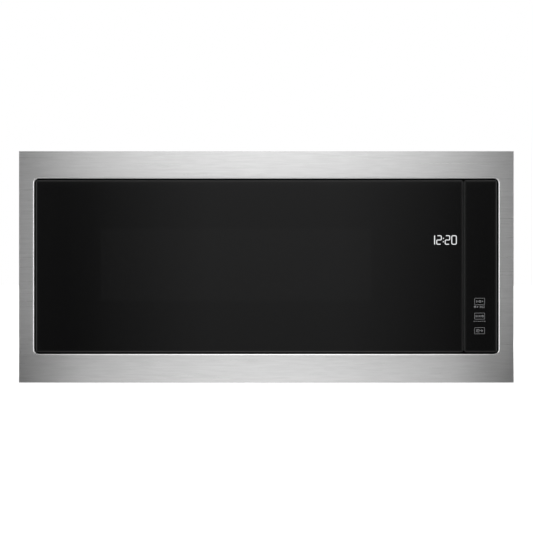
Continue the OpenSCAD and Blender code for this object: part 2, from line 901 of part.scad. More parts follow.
module touch_board() {
    x0 = strip_x0 + frame_inset + frame_wall + seat_gap;
    x1 = face_x - frame_inset - frame_wall - seat_gap;
    back = glass_y1 + board_t;
    color("#1f5b3a") {
        box(x0, x1, glass_y1, back, frame_z0 + 12, frame_z1 - 12);
        for (z = [cav_z0 - 15, cav_z0 + 7, cav_z0 + 30])
            box(x0 + 12, x0 + 26, back, back + 1.2, z - 5, z + 5);
        box(x0 + 8, x0 + 30, back, back + 6, frame_z0 + 16, frame_z0 + 24);
        box(x0 + 10, x0 + 24, back, back + 2, cav_zc - 7, cav_zc + 7);
    }
}

// Latch side of the chassis

module latch_board() {
    x0 = latch_plate_x;
    color("#d8d4c8") difference() {
        union() {
            box(x0, x0 + latch_plate_t, front_t, latch_plate_d, latch_plate_z0, latch_plate_z1);
            box(x0, x0 + latch_plate_foot, front_t, front_t + latch_plate_t, latch_plate_z0, latch_plate_z1);
            // Lever pivot
            rod_x(latch_x + lever_w / 2 + seat_gap, x0, lever_y, lever_z, axle_r + pivot_boss);
            rod_x(latch_x - lever_w / 2 - 0.5, x0, lever_y, lever_z, axle_r);
            for (z = switch_z, d = switch_pegs)
                rod_x(x0 - switch_w + 1, x0, switch_y0 + d, z + switch_h / 2, peg_r);
        }
        for (z = [cav_z0 + 40, cav_zc + 10])
            box(x0 - cut, x0 + latch_plate_t + cut, 22, 50, z, z + 24);
    }
}

module interlock_switches() {
    x0 = latch_plate_x - switch_w;
    y1 = switch_y0 + switch_d;
    color("#2a2a2a") for (i = [0 : 2]) {
        z = switch_z[i];
        difference() {
            box(x0, latch_plate_x, switch_y0, y1, z, z + switch_h);
            for (d = switch_pegs)
                rod_x(x0 - cut, latch_plate_x + cut, switch_y0 + d, z + switch_h / 2, peg_r + 0.1);
        }
        rod_y(latch_x + 1, switch_y0 - button_l, switch_y0, z + button_z[i], 1.2);
        for (t = [2, 7, 12])
            box(x0 + 2, latch_plate_x - 2, y1, y1 + 6, z + t, z + t + 0.8);
    }
}

module release_solenoid() {
    x0 = latch_x - coil_half;
    color("#6b6d70") difference() {
        union() {
            difference() {
                box(x0, latch_plate_x, plunger_y - coil_half, plunger_y + coil_half, coil_z0, coil_z1);
                box(x0 + 1.5, latch_plate_x - 1.5, plunger_y - coil_half - cut, plunger_y + coil_half + cut,
                    coil_z0 + coil_end, coil_z1 - coil_end);
            }
            rod_z(latch_x, plunger_y, coil_z0 + coil_end, coil_z1 - coil_end, coil_half - 2);
        }
        rod_z(latch_x, plunger_y, coil_z0 + 2 * coil_end, coil_z1 + cut, plunger_r + 2 * run_gap);
    }
}

module solenoid_plunger() {
    color("#c8c8c8") {
        rod_z(latch_x, plunger_y, coil_z0 + 4 * coil_end, coil_z1 + 6, plunger_r);
        rod_z(latch_x, plunger_y, coil_z1 + 6, plunger_top, plunger_r / 2);
    }
}

// The lever's toe lies under the lower hook's tip
module release_lever() {
    x0 = latch_x - lever_w / 2;
    color("#c9b98a") difference() {
        union() {
            box(x0, x0 + lever_w, tip_y0, plunger_y + 2, lever_top - lever_h, lever_top);
            box(x0, x0 + lever_w, tip_y0, tip_y0 + toe_l, lever_top, toe_top);
            rod_x(x0, x0 + lever_w, lever_y, lever_z, axle_r + pivot_boss);
        }
        rod_x(x0 - cut, x0 + lever_w + cut, lever_y, lever_z, axle_r + run_gap);
    }
}

// Heating parts

module waveguide() {
    t = cavity_t;
    color("#a9abad") difference() {
        box(bay_x0, guide_x1, guide_y0, guide_y0 + guide_l, guide_z0, guide_z0 + guide_h);
        box(bay_x0 + t, guide_x1 - t, guide_y0 + t, guide_y0 + guide_l - t,
            guide_z0 + t, guide_z0 + guide_h - t);
        box(bay_x0 - cut, bay_x0 + t + cut, port_y0, port_y1, guide_z0 + port_inset,
            guide_z0 + guide_h - port_inset);
        rod_x(guide_x1 - t - cut, guide_x1 + cut, magnetron_y0 + magnetron_d / 2, magnetron_zc,
              antenna_r + 1);
    }
}

module waveguide_cover() {
    color("#b9b2a2") box(cav_x1 - cover_t, cav_x1, port_y0 - cover_lap_y, port_y1 + cover_lap_y,
        guide_z0 + cover_lap_z, guide_z0 + guide_h - cover_lap_z);
}

module magnetron_yoke() {
    x1 = magnetron_x0 + magnetron_w - filter_box;
    z0 = magnetron_zc - magnetron_h / 2;
    z1 = z0 + magnetron_h;
    yc = magnetron_y0 + magnetron_d / 2;
    color("#b5b7ba") difference() {
        box(magnetron_x0, x1, magnetron_y0, magnetron_y1, z0, z1);
        box(magnetron_x0 + yoke_t, x1 - yoke_t, magnetron_y0 - cut, magnetron_y1 + cut,
            z0 + yoke_t, z1 - yoke_t);
        rod_x(magnetron_x0 - cut, magnetron_x0 + yoke_t + cut, yc, magnetron_zc, antenna_r + 3);
        rod_x(x1 - yoke_t - cut, x1 + cut, yc, magnetron_zc, filter_r + 1);
    }
}

module magnetron_tube() {
    x0 = magnetron_x0 + yoke_t;
    x1 = magnetron_x0 + magnetron_w - filter_box;
    x2 = x1 - yoke_t;
    yc = magnetron_y0 + magnetron_d / 2;
    fin_half = magnetron_h / 2 - fin_inset_z;
    color("#c9a16a") {
        rod_x(x0, x2, yc, magnetron_zc, anode_r);
        rod_x(x0 - antenna_l, x0, yc, magnetron_zc, antenna_r);
        // Cooling fins
        for (x = [x0 + fin_start : fin_pitch : x2 - fin_end])
            box(x, x + fin_t, magnetron_y0 + fin_inset_y, magnetron_y1 - fin_inset_y,
                magnetron_zc - fin_half, magnetron_zc + fin_half);
        rod_x(x2, x1, yc, magnetron_zc, filter_r);
        // Filter box
        box(x1, x1 + filter_box, yc - filter_half, yc + filter_half,
            magnetron_zc - filter_half, magnetron_zc + filter_half);
    }
}

module transformer_core() {
    z0 = base_top + core_lift;
    y0 = core_y - core_d / 2;
    y1 = core_y + core_d / 2;
    color("#4b4e52") difference() {
        union() {
            box(core_x - core_w / 2, core_x + core_w / 2, y0, y1, z0, z0 + core_h);
            box(core_x - core_w / 2 - 8, core_x + core_w / 2 + 8, y0, y1, base_top, z0);
        }
        for (s = [-1, 1])
            box(core_x + s * core_w / 4 - window_half, core_x + s * core_w / 4 + window_half,
                y0 - cut, y1 + cut, z0 + core_leg, z0 + core_h - core_leg);
    }
}

// Two windings that fill the core's windows and go round its middle leg
module transformer_windings() {
    z0 = base_top + core_lift + core_leg;
    z1 = base_top + core_lift + core_h - core_leg;
    zc = (z0 + z1) / 2;
    leg = core_w / 4 - window_half;
    out = core_w / 4 + window_half;
    color("#b5652d") for (z = [[z0, zc - 1], [zc + 1, z1]])
        difference() {
            box(core_x - out, core_x + out, core_y - core_d / 2 - winding_out,
                core_y + core_d / 2 + winding_out, z[0], z[1]);
            box(core_x - leg, core_x + leg, core_y - core_d / 2, core_y + core_d / 2,
                z[0] - cut, z[1] + cut);
        }
}

module capacitor() {
    color("#b8bcc0") {
        rod_y(can_x, can_y0, can_y0 + can_l, can_z, can_r);
        for (s = [-1, 1])
            box(can_x + s * tab_l - tab_l / 3, can_x + s * tab_l + tab_l / 3, can_y0 - tab_l, can_y0,
                can_z - fin_t / 2, can_z + fin_t / 2);
    }
}

module capacitor_clamp() {
    y0 = can_y0 + can_l / 2 - 8;
    y1 = y0 + 16;
    r = can_r + run_gap;
    t = 1.2;
    color("#9c9ea1") {
        difference() {
            rod_y(can_x, y0, y1, can_z, r + t);
            rod_y(can_x, y0 - cut, y1 + cut, can_z, r);
            box(can_x - r, can_x + r, y0 - cut, y1 + cut, can_z - r - 2 * t, can_z - r * 0.8);
        }
        for (s = [-1, 1])
            difference() {
                union() {
                    box(can_x + s * (r + 6) - 6, can_x + s * (r + 6) + 6, y0, y1, base_top, base_top + t);
                    box(can_x + s * (r + t / 2) - t / 2, can_x + s * (r + t / 2) + t / 2, y0, y1,
                        base_top, can_z);
                }
                rod_y(can_x, y0 - cut, y1 + cut, can_z, r);
                rod_z(can_x + s * (r + 7), y0 + 8, base_top - cut, base_top + t + cut, screw_r);
            }
    }
}

module diode() {
    x = can_x + diode_dx;
    y1 = can_y0 + can_l + diode_r * 2;
    y0 = y1 - diode_l;
    z = base_top + diode_r + 2;
    half = diode_r + 2;
    color("#1d1d1d") {
        rod_y(x, y0, y1, z, diode_r);
        rod_y(x, y1, y1 + half, z, fin_t);
        box(x - half, x + half, y1 + diode_r, y1 + diode_r + diode_foot, base_top, z + diode_foot);
        box(x - half, x + half, y0 - diode_foot, y0, base_top, z + diode_foot);
    }
}

module control_board() {
    inset = post_inset;
    relay_z = board_z1 - relay_l - relay_l;
    color("#1f5b3a") {
        box(board_x, board_x + board_t, board_y0, board_y1, board_z0, board_z1);
        for (y = [board_y0 + inset, board_y1 - inset], z = [board_z0 + inset, board_z1 - inset])
            rod_x(board_x + board_t, bay_x1, y, z, post_r);
        for (i = [0 : 2])
            box(board_x - relay_h, board_x, board_y0 + inset / 2 + i * relay_pitch,
                board_y0 + inset / 2 + i * relay_pitch + relay_w, relay_z, relay_z + relay_l);
        // Small transformer, capacitor, connector and chip
        box(board_x - small_core_t, board_x, board_y0 + inset, board_y0 + inset + small_core,
            board_z0 + low_row, board_z0 + low_row + small_core_h);
        rod_x(board_x - drum_l, board_x, board_y0 + inset + small_core + low_row,
              board_z0 + drum_up, inset);
        box(board_x - inset, board_x, board_y1 - socket_end - socket_w, board_y1 - socket_end,
            board_z0 + socket_up, board_z0 + socket_up + socket_h);
        box(board_x - chip_t, board_x, board_y0 + chip_dy, board_y0 + chip_dy + chip_w,
            board_z0 + chip_up, board_z0 + chip_up + chip_w);
    }
}

module noise_filter_board() {
    z = fan_z + shroud_half + filter_board_lift;
    x0 = filter_board_x0;
    x1 = x0 + filter_board_w;
    y1 = filter_board_y1;
    y0 = y1 - filter_board_d;
    cap_x0 = x0 + post_dx + 2.5 * choke_coil_r;
    color("#2b5f45") {
        box(x0, x1, y0, y1, z, z + board_t);
        for (x = [x0 + post_dx, x1 - 2 * post_inset], y = [y0 + post_inset, y1 - post_inset])
            rod_z(x, y, fan_z + shroud_half, z, post_r);
        // Choke coil and two capacitors
        rod_z(x0 + post_dx + post_inset, y0 + filter_board_d / 2, z + board_t, z + choke_coil_h,
              choke_coil_r);
        box(cap_x0, x1 - choke_coil_r, y0 + small_cap_y0, y0 + small_cap_y0 + small_cap_w,
            z + board_t, z + choke_coil_h - small_cap_drop);
        box(cap_x0, x1 - choke_coil_h, y0 + large_cap_y0, y0 + large_cap_y0 + large_cap_w,
            z + board_t, z + choke_coil_h - large_cap_drop);
    }
}

module fan_shroud() {
    y1 = shroud_y0 + shroud_d;
    z0 = fan_z - shroud_half;
    z1 = fan_z + shroud_half;
    color("#3a3c3f") difference() {
        union() {
            difference() {
                box(fan_x - shroud_half, fan_x + shroud_half, shroud_y0, y1, z0, z1);
                rod_y(fan_x, shroud_y0 - cut, y1 + cut, fan_z, fan_r + blade_gap);
            }
            // Bar across the rear that carries the motor
            box(fan_x - bar_half, fan_x + bar_half, y1 - motor_bar_t, y1, z0, z1);
            // Feet that stand it on the base
            for (s = [-1, 1])
                box(fan_x + s * foot_dx - foot_half, fan_x + s * foot_dx + foot_half, shroud_y0, y1,
                    base_top, z0);
        }
        rod_y(fan_x, y1 - motor_bar_t - cut, y1 + cut, fan_z, fan_shaft_r + blade_gap);
    }
}

module fan_motor() {
    y0 = shroud_y0 + shroud_d;
    stack_y = y0 + 6;
    color("#7a7d80") difference() {
        union() {
            // Laminated stack, bearing housing and coil
            box(fan_x - stack_half, fan_x + stack_half, stack_y, stack_y + stack_d,
                fan_z - stack_down, fan_z + stack_up);
            rod_y(fan_x, y0, y0 + fan_motor_d, fan_z, bearing_r);
            box(fan_x - motor_coil_half, fan_x + motor_coil_half, stack_y - motor_coil_lap,
                stack_y + stack_d + motor_coil_lap, fan_z + stack_up - stack_d, fan_z + stack_up - 2);
        }
        rod_y(fan_x, y0 - cut, y0 + fan_motor_d + cut, fan_z, fan_shaft_r + run_gap);
    }
}

module fan_impeller() {
    hub_r = 13;
    y0 = fan_plane - 12;
    y1 = fan_plane + 8;
    color("#d9d9d4") {
        difference() {
            rod_y(fan_x, y0, y1, fan_z, hub_r);
            rod_y(fan_x, y0 - cut, y1 - 14, fan_z, hub_r - 4);
        }
        rod_y(fan_x, y1, shroud_y0 + shroud_d + fan_motor_d + 2, fan_z, fan_shaft_r);
        // Pitched blades, trimmed to the swept circle
        intersection() {
            rod_y(fan_x, y0 - 2, y1 + 4, fan_z, fan_r);
            union() {
                for (a = [0 : 360 / blades : 359])
                    translate([fan_x, fan_plane, fan_z]) rotate([0, a, 0]) rotate([0, 0, blade_pitch])
                        translate([-blade_w / 2, -blade_t / 2, hub_r - 2]) cube([blade_w, blade_t, fan_r]);
            }
        }
    }
}

module air_duct() {
    z0 = fan_z - shroud_half;
    z1 = fan_z + shroud_half;
    color("#55585c") difference() {
        box(fan_x - duct_half, fan_x + duct_half, duct_y0, shroud_y0, z0, z1);
        box(fan_x - duct_half + duct_t, fan_x + duct_half - duct_t, duct_y0 - cut, shroud_y0 + cut,
            z0 + duct_t, z1 - duct_t);
    }
}

module cavity_lamp() {
    z = cav_z1 + cavity_t;
    color("#f0e6c8") {
        translate([lamp_x, lamp_y, z + 12]) sphere(9);
        rod_z(lamp_x, lamp_y, z + 18, z + lamp_box_h + 4, lamp_base_r);
    }
}

module lamp_housing() {
    z = cav_z1 + cavity_t;
    top = z + lamp_box_h;
    half_x = 26;
    half_y = 20;
    color("#b4b6b8") difference() {
        union() {
            box(lamp_x - half_x, lamp_x + half_x, lamp_y - half_y, lamp_y + half_y, z, top);
            box(lamp_x - half_x - 6, lamp_x + half_x + 6, lamp_y - half_y - 6, lamp_y + half_y + 6,
                z, z + lamp_box_t);
        }
        box(lamp_x - half_x + lamp_box_t, lamp_x + half_x - lamp_box_t,
            lamp_y - half_y + lamp_box_t, lamp_y + half_y - lamp_box_t, z - cut, top - lamp_box_t);
        rod_z(lamp_x, lamp_y, top - lamp_box_t - cut, top + cut, lamp_base_r + run_gap);
    }
}

module thermal_cutouts() {
    z = cav_z1 + cavity_t;
    color("#3d3d3d") {
        for (x = [cav_xc - 60, cav_xc + 40])
            cutout(x, table_y, z);
        cutout(magnetron_x0 + magnetron_w / 2 - 10, magnetron_y0 + magnetron_d / 2,
               magnetron_zc + magnetron_h / 2);
    }
}

// One cut-out: its cup, its cap and its two terminals
module cutout(x, y, z) {
    rod_z(x, y, z, z + 6, 8);
    rod_z(x, y, z + 6, z + 11, 6);
    for (s = [-1, 1])
        box(x + s * 8.5 - 1.5, x + s * 8.5 + 1.5, y - 3, y + 3, z + 3, z + 14);
}

// Turntable

module turntable_motor() {
    z1 = cav_z0 - cavity_t;
    ear_t = 1.2;
    color("#a7aaad") difference() {
        union() {
            rod_z(cav_xc, table_y, z1 - motor_h, z1, motor_r);
            box(cav_xc - motor_r - motor_ear, cav_xc + motor_r + motor_ear, table_y - 7, table_y + 7,
                z1 - ear_t, z1);
            box(cav_xc - 9, cav_xc + 9, table_y + motor_r - 4, table_y + motor_r + 9,
                z1 - motor_h + 3, z1 - 4);
        }
        rod_z(cav_xc, table_y, z1 - motor_h + 3, z1 + cut, shaft_r + run_gap);
        for (s = [-1, 1])
            rod_z(cav_xc + s * (motor_r + motor_ear / 2), table_y, z1 - ear_t - cut, z1 + cut, screw_r);
    }
}

module drive_coupler() {
    color("#ddd8c9") {
        rod_z(cav_xc, table_y, cav_z0 - cavity_t - motor_h + 4, cav_z0 + 4, shaft_r);
        rod_z(cav_xc, table_y, cav_z0 + 3, tray_z, hub_r);
        for (a = [0, 120, 240])
            translate([cav_xc, table_y, tray_z - lug_h]) rotate([0, 0, a])
                translate([hub_r / 2, -4, 0]) cube([lug_l - hub_r / 2, 8, lug_h]);
    }
}

module glass_tray() {
    r = tray_r;
    t = tray_t;
    color("#dfe8ea") translate([cav_xc, table_y, tray_z]) rotate_extrude()
        polygon([
            [0, 0], [r - tray_rim, 0], [r - 6, tray_rise - 1], [r, tray_rise - 1], [r, t + tray_rise],
            [r - 7, t + tray_rise], [r - tray_rim - 2, t], [0, t]
        ]);
}

module roller_ring() {
    z0 = roller_z - ring_h / 2;
    out = track_r + roller_w / 2;
    color("#d6d2c6") translate([cav_xc, table_y, 0]) {
        difference() {
            rod_z(0, 0, z0, z0 + ring_h, ring_r);
            rod_z(0, 0, z0 - cut, z0 + ring_h + cut, ring_r - ring_w);
        }
        for (a = [0, 120, 240]) rotate([0, 0, a]) {
            rod_x(ring_r - 1, out + seat_gap + axle_head, 0, roller_z, axle_r);
            rod_x(out + seat_gap, out + seat_gap + axle_head, 0, roller_z, axle_r + 1.2);
        }
    }
}

module roller(a) {
    color("#e9e6dc") translate([cav_xc, table_y, 0]) rotate([0, 0, a]) difference() {
        union() {
            rod_x(track_r - roller_w / 2, track_r + roller_w / 2, 0, roller_z, roller_r - 0.8);
            rod_x(track_r - roller_w / 4, track_r + roller_w / 4, 0, roller_z, roller_r);
        }
        rod_x(track_r - roller_w, track_r + roller_w, 0, roller_z, axle_r + run_gap);
    }
}

module roller_a() {
    roller(0);
}

module roller_b() {
    roller(120);
}

module roller_c() {
    roller(240);
}

// Door

module door_glass() {
    color("#0a0a0a") ground_slab(-face_x, door_x1, face_z0, face_z1);
}

module door_frame() {
    gap = seat_gap;
    color("#181818") difference() {
        slab(frame_x0, frame_x1, frame_z0, frame_z1, glass_r, glass_y1, door_y1);
        // Rear corner rounded about the hinge axis
        difference() {
            box(frame_x0 - cut, hinge_x, hinge_y, door_y1 + cut, frame_z0 - cut, frame_z1 + cut);
            rod_z(hinge_x, hinge_y, frame_z0 - 2 * cut, frame_z1 + 2 * cut, hinge_arc);
        }
        // Opening for the screen pan
        box(cav_x0 - pan - gap, cav_x1 + pan + gap, glass_y1 - cut, door_y1 + cut,
            cav_z0 - pan - gap, cav_z1 + pan + gap);
        // Pocket for the display and the latch bar
        difference() {
            box(cav_x1 + pan + pocket_rib, frame_x1 - frame_wall, glass_y1 - cut, wall_y0,
                frame_z0 + frame_wall, frame_z1 - frame_wall);
            latch_guides();
        }
        // Lightening pockets above and below the pan
        for (z = [frame_z0 + frame_wall, cav_z1 + pan + 3])
            box(hinge_x + recess_l, cav_x1 + pan, glass_y1 - cut, wall_y0,
                z, z == frame_z0 + frame_wall ? cav_z0 - pan - 3 : frame_z1 - frame_wall);
        // Recesses that the hinge leaves lie in
        box(frame_x0 - cut, frame_x0 + recess_l, glass_y1 - cut, door_y1 + cut,
            leaf_z1 - leaf_t - gap, frame_z1 + cut);
        box(frame_x0 - cut, frame_x0 + recess_l, glass_y1 - cut, door_y1 + cut,
            frame_z0 - cut, leaf_z0 + leaf_t + gap);
        rod_z(hinge_x, hinge_y, leaf_z1 - leaf_t - pin_depth, frame_z1, pin_r);
        rod_z(hinge_x, hinge_y, frame_z0, leaf_z0 + leaf_t + pin_depth, pin_r);
        for (z = hooks_z)
            box(latch_x - hook_w / 2 - 1, latch_x + hook_w / 2 + 1, wall_y0 - cut, door_y1 + cut,
                z - slot_drop, z + hook_h + slot_over);
    }
}

// Guides that hold the latch bar, its stop below and the spring's seat above
module latch_guides() {
    half = latch_w / 2 + seat_gap;
    front = bar_y0 - seat_gap;
    stop = bar_z0 - latch_travel - seat_gap;
    for (z = guide_ribs_z)
        difference() {
            box(latch_x - half - guide_cheek, frame_x1, front - guide_cheek, door_y1, z, z + guide_rib);
            box(latch_x - half, latch_x + half, front, door_y1 + cut, z - cut, z + guide_rib + cut);
        }
    box(latch_x - half, frame_x1, front, door_y1, spring_z1 + seat_gap, spring_z1 + 4);
    box(latch_x - half, frame_x1, front, door_y1, stop - 3, stop);
}

module door_screen() {
    t = screen_t;
    x0 = cav_x0;
    x1 = cav_x1;
    inner = choke_start;
    color("#303234") difference() {
        box(x0 - pan, x1 + pan, glass_y1, screen_y1, cav_z0 - pan, cav_z1 + pan);
        // Front pocket before the perforated plate
        box(x0 - inner + t, x1 + inner - t, glass_y1 - cut, screen_y1 - t,
            cav_z0 - inner + t, cav_z1 + inner - t);
        // Choke channel, open to the rear
        difference() {
            box(x0 - pan + t, x1 + pan - t, glass_y1 + t, screen_y1 + cut,
                cav_z0 - pan + t, cav_z1 + pan - t);
            box(x0 - inner, x1 + inner, glass_y1, screen_y1 + 2 * cut, cav_z0 - inner, cav_z1 + inner);
        }
    }
}

module choke_cover() {
    in = pane_inset - seat_gap;
    color("#1c1c1c") difference() {
        box(cav_x0 - pan, cav_x1 + pan, screen_y1, door_y1, cav_z0 - pan, cav_z1 + pan);
        slab(cav_x0 + in, cav_x1 - in, cav_z0 + in, cav_z1 - in, cavity_r, screen_y1 - cut, door_y1 + cut);
    }
}

module inner_pane() {
    color("#3a4244") slab(cav_x0 + pane_inset, cav_x1 - pane_inset, cav_z0 + pane_inset,
        cav_z1 - pane_inset, cavity_r, screen_y1, door_y1);
}

module display_module() {
    x1 = frame_x1 - frame_wall - seat_gap;
    x0 = cav_x1 + pan + pocket_rib + seat_gap;
    z = cav_zc + display_dz;
    color("#101010") {
        box(x0 + 4, x1 - 1, glass_y1, glass_y1 + display_d, z - 10.5, z + 10.5);
        box(x0, x1, glass_y1 + display_d, glass_y1 + display_d + board_t, z - 14, z + 14);
    }
}

// Latch bar with its two hooks
module latch_hooks() {
    color("#d9d4c4") {
        box(latch_x - latch_w / 2, latch_x + latch_w / 2, bar_y0, bar_y1, bar_z0, bar_z1);
        for (z = hooks_z) {
            box(latch_x - hook_w / 2, latch_x + hook_w / 2, bar_y1, hook_reach, z, z + hook_h);
            box(latch_x - hook_w / 2, latch_x + hook_w / 2, tip_y0, hook_reach, z - hook_drop, z);
        }
    }
}

// Latch spring between the bar's top and its seat in the frame
function coil_point(i) = let(
    n = spring_turns * spring_rings,
    a = 360 * i / spring_rings,
    z = spring_z0 + wire_r + (spring_z1 - spring_z0 - 2 * wire_r) * i / n
) [latch_x + spring_r * cos(a), spring_y + spring_r * sin(a), z];

function coil_ring(i) = let(a = 360 * i / spring_rings, p = coil_point(i))
    [for (k = [0 : wire_sides - 1]) let(b = 360 * k / wire_sides)
        p + wire_r * [cos(b) * cos(a), cos(b) * sin(a), sin(b)]];

module latch_spring() {
    n = spring_turns * spring_rings;
    m = wire_sides;
    points = [for (i = [0 : n]) each coil_ring(i)];
    sides = [for (i = [0 : n - 1], k = [0 : m - 1]) each
        [[i * m + k, i * m + (k + 1) % m, (i + 1) * m + k],
         [i * m + (k + 1) % m, (i + 1) * m + (k + 1) % m, (i + 1) * m + k]]];
    caps = [for (k = [1 : m - 2]) each
        [[0, k + 1, k], [n * m, n * m + k, n * m + k + 1]]];
    color("#cfcfcf") polyhedron(points = points, faces = concat(sides, caps));
}

trim_frame();
trim_bracket_left();
trim_bracket_right();
case_screws();
support_rail_left();
support_rail_right();
toe_strip();
front_plate();
cavity_shell();
base_plate();
outer_case();
rear_panel();
cord_bushing();
hinge_leaf_upper();
hinge_leaf_lower();
hinge_screws();
strip_glass();
strip_housing();
touch_board();
latch_board();
interlock_switches();
release_solenoid();
waveguide();
waveguide_cover();
magnetron_yoke();
magnetron_tube();
transformer_core();
transformer_windings();
capacitor();
capacitor_clamp();
diode();
control_board();
noise_filter_board();
fan_shroud();
fan_motor();
air_duct();
cavity_lamp();
lamp_housing();
thermal_cutouts();
turntable_motor();
door_glass();
door_frame();
door_screen();
choke_cover();
inner_pane();
display_module();
hinge_pin_upper();
hinge_pin_lower();
latch_hooks();
latch_spring();
release_lever();
solenoid_plunger();
glass_tray();
drive_coupler();
roller_ring();
roller_a();
roller_b();
roller_c();
fan_impeller();
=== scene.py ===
from math import cos, pi, radians, sin, sqrt

import bmesh
import bpy
from bpy.props import FloatProperty, FloatVectorProperty, IntProperty, PointerProperty
from mathutils import Matrix, Vector


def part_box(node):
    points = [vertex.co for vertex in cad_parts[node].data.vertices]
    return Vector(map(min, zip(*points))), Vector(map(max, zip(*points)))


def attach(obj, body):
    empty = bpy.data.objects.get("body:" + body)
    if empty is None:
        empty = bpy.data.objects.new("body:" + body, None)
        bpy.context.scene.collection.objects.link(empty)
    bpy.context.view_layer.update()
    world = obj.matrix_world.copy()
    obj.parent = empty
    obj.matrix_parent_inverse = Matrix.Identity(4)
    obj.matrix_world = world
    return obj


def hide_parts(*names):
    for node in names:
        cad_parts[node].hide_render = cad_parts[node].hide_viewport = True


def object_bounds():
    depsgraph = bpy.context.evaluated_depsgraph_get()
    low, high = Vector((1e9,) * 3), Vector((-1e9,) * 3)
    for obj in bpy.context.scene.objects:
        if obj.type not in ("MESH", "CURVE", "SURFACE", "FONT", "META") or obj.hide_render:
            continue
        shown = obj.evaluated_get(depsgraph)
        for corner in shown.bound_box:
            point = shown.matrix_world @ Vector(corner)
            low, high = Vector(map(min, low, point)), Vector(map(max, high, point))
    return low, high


bl_info = {
    "name": "Built-in Microwave Oven",
    "version": (1, 0, 0),
    "blender": (4, 5, 0),
    "location": "View3D > Sidebar > Microwave",
    "description": "Finishes and details of a built-in microwave oven on its packed frame",
    "category": "Object",
}

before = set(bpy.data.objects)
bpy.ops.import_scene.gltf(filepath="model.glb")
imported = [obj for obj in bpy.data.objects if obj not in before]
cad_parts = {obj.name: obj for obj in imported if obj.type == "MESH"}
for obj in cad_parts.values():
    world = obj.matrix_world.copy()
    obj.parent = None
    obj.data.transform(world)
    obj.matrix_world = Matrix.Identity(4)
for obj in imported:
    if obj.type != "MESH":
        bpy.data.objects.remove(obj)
CAD_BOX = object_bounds()
MM = 0.001
WHITE = (1, 1, 1, 1)
# Turns of a piece that stands upright, so that its top faces the rear or the front
TO_REAR = Matrix.Rotation(-pi / 2, 4, "X")
TO_FRONT = Matrix.Rotation(pi / 2, 4, "X")


def front_of(node):
    """Where the front face of a CAD node's box lies."""
    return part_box(node)[0][1]


def middle_of(node):
    """The middle of a CAD node's box."""
    return [(low + high) / 2 for low, high in zip(*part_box(node))]


# Modelling

def deselect():
    """Leaves edit mode and clears the selection."""
    if bpy.context.object and bpy.context.object.mode != "OBJECT":
        bpy.ops.object.mode_set(mode="OBJECT")
    bpy.ops.object.select_all(action="DESELECT")


def choose(piece):
    """Makes a piece the active one and the only one selected."""
    deselect()
    piece.select_set(True)
    bpy.context.view_layer.objects.active = piece


def named(name):
    """Names the piece that was just added."""
    piece = bpy.context.object
    piece.name = piece.data.name = name
    return piece


def settle(piece):
    """Puts a piece's place into its mesh."""
    choose(piece)
    bpy.ops.object.transform_apply(location=True, rotation=True, scale=True)
    return piece


def edit(piece):
    """Opens a piece in edit mode, with everything in it selected."""
    choose(piece)
    bpy.ops.object.mode_set(mode="EDIT")
    bpy.ops.mesh.select_all(action="SELECT")


def pick(test, kind="FACE"):
    """In edit mode, selects the faces or edges that pass the test on their middle and on the
    face's normal or the edge's run."""
    bpy.ops.mesh.select_mode(type=kind)
    bpy.ops.mesh.select_all(action="DESELECT")
    mesh = bpy.context.object.data
    shape = bmesh.from_edit_mesh(mesh)
    shape.normal_update()
    for part in shape.faces if kind == "FACE" else shape.edges:
        if kind == "FACE":
            place, way = part.calc_center_median(), part.normal
        else:
            start, end = (corner.co for corner in part.verts)
            place, way = (start + end) / 2, end - start
        if test(place, way):
            part.select_set(True)
    shape.select_flush_mode()
    bmesh.update_edit_mesh(mesh)


def bevel(offset, segments, affect="EDGES"):
    """Rounds off what is selected."""
    bpy.ops.mesh.bevel(offset=offset, segments=segments, affect=affect)


def bevel_rim(test, offset, segments):
    """Rounds off the border of the faces that pass the test."""
    pick(test)
    bpy.ops.mesh.region_to_loop()
    bevel(offset, segments)


def close_edit(smooth=None):
    """Points all faces outwards and goes back to object mode."""
    bpy.ops.mesh.select_mode(type="FACE")
    bpy.ops.mesh.select_all(action="SELECT")
    bpy.ops.mesh.remove_doubles(threshold=1e-6)
    bpy.ops.mesh.normals_make_consistent(inside=False)
    bpy.ops.object.mode_set(mode="OBJECT")
    if smooth:
        bpy.ops.object.shade_smooth_by_angle(angle=radians(smooth))
    return bpy.context.object


def clean(piece, smooth=None):
    """Welds a piece and points its faces outwards."""
    edit(piece)
    return close_edit(smooth)


def add_sheet(name, x0, x1, z0, z1, y):
    """A flat sheet facing the front."""
    deselect()
    bpy.ops.mesh.primitive_plane_add(size=1, location=((x0 + x1) / 2, y, (z0 + z1) / 2),
                                     rotation=(pi / 2, 0, 0))
    piece = named(name)
    piece.scale = (x1 - x0, z1 - z0, 1)
    return settle(piece)


def add_block(name, x0, x1, y0, y1, z0, z1, edge=0):
    """A block, its edges rounded where an edge is given."""
    deselect()
    bpy.ops.mesh.primitive_cube_add(
        size=1, location=((x0 + x1) / 2, (y0 + y1) / 2, (z0 + z1) / 2))
    piece = named(name)
    piece.scale = (x1 - x0, y1 - y0, z1 - z0)
    settle(piece)
    if edge:
        edit(piece)
        bevel(edge, 2)
        close_edit()
    return piece


def turned(name, centre, profile, sides=96, smooth=30):
    """A body of revolution about a vertical axis: the profile's points are (radius, height)."""
    x, y, z = centre
    radius, height = profile[0]
    deselect()
    bpy.ops.mesh.primitive_circle_add(vertices=sides, radius=radius, fill_type="NGON",
                                      location=(x, y, z + height))
    edit(settle(named(name)))
    for next_radius, next_height in profile[1:]:
        bpy.ops.mesh.extrude_region_move(
            TRANSFORM_OT_translate={"value": (0, 0, next_height - height)})
        factor = next_radius / radius
        bpy.ops.transform.resize(value=(factor, factor, 1),
                                 center_override=(x, y, z + next_height))
        radius, height = next_radius, next_height
    return close_edit(smooth)


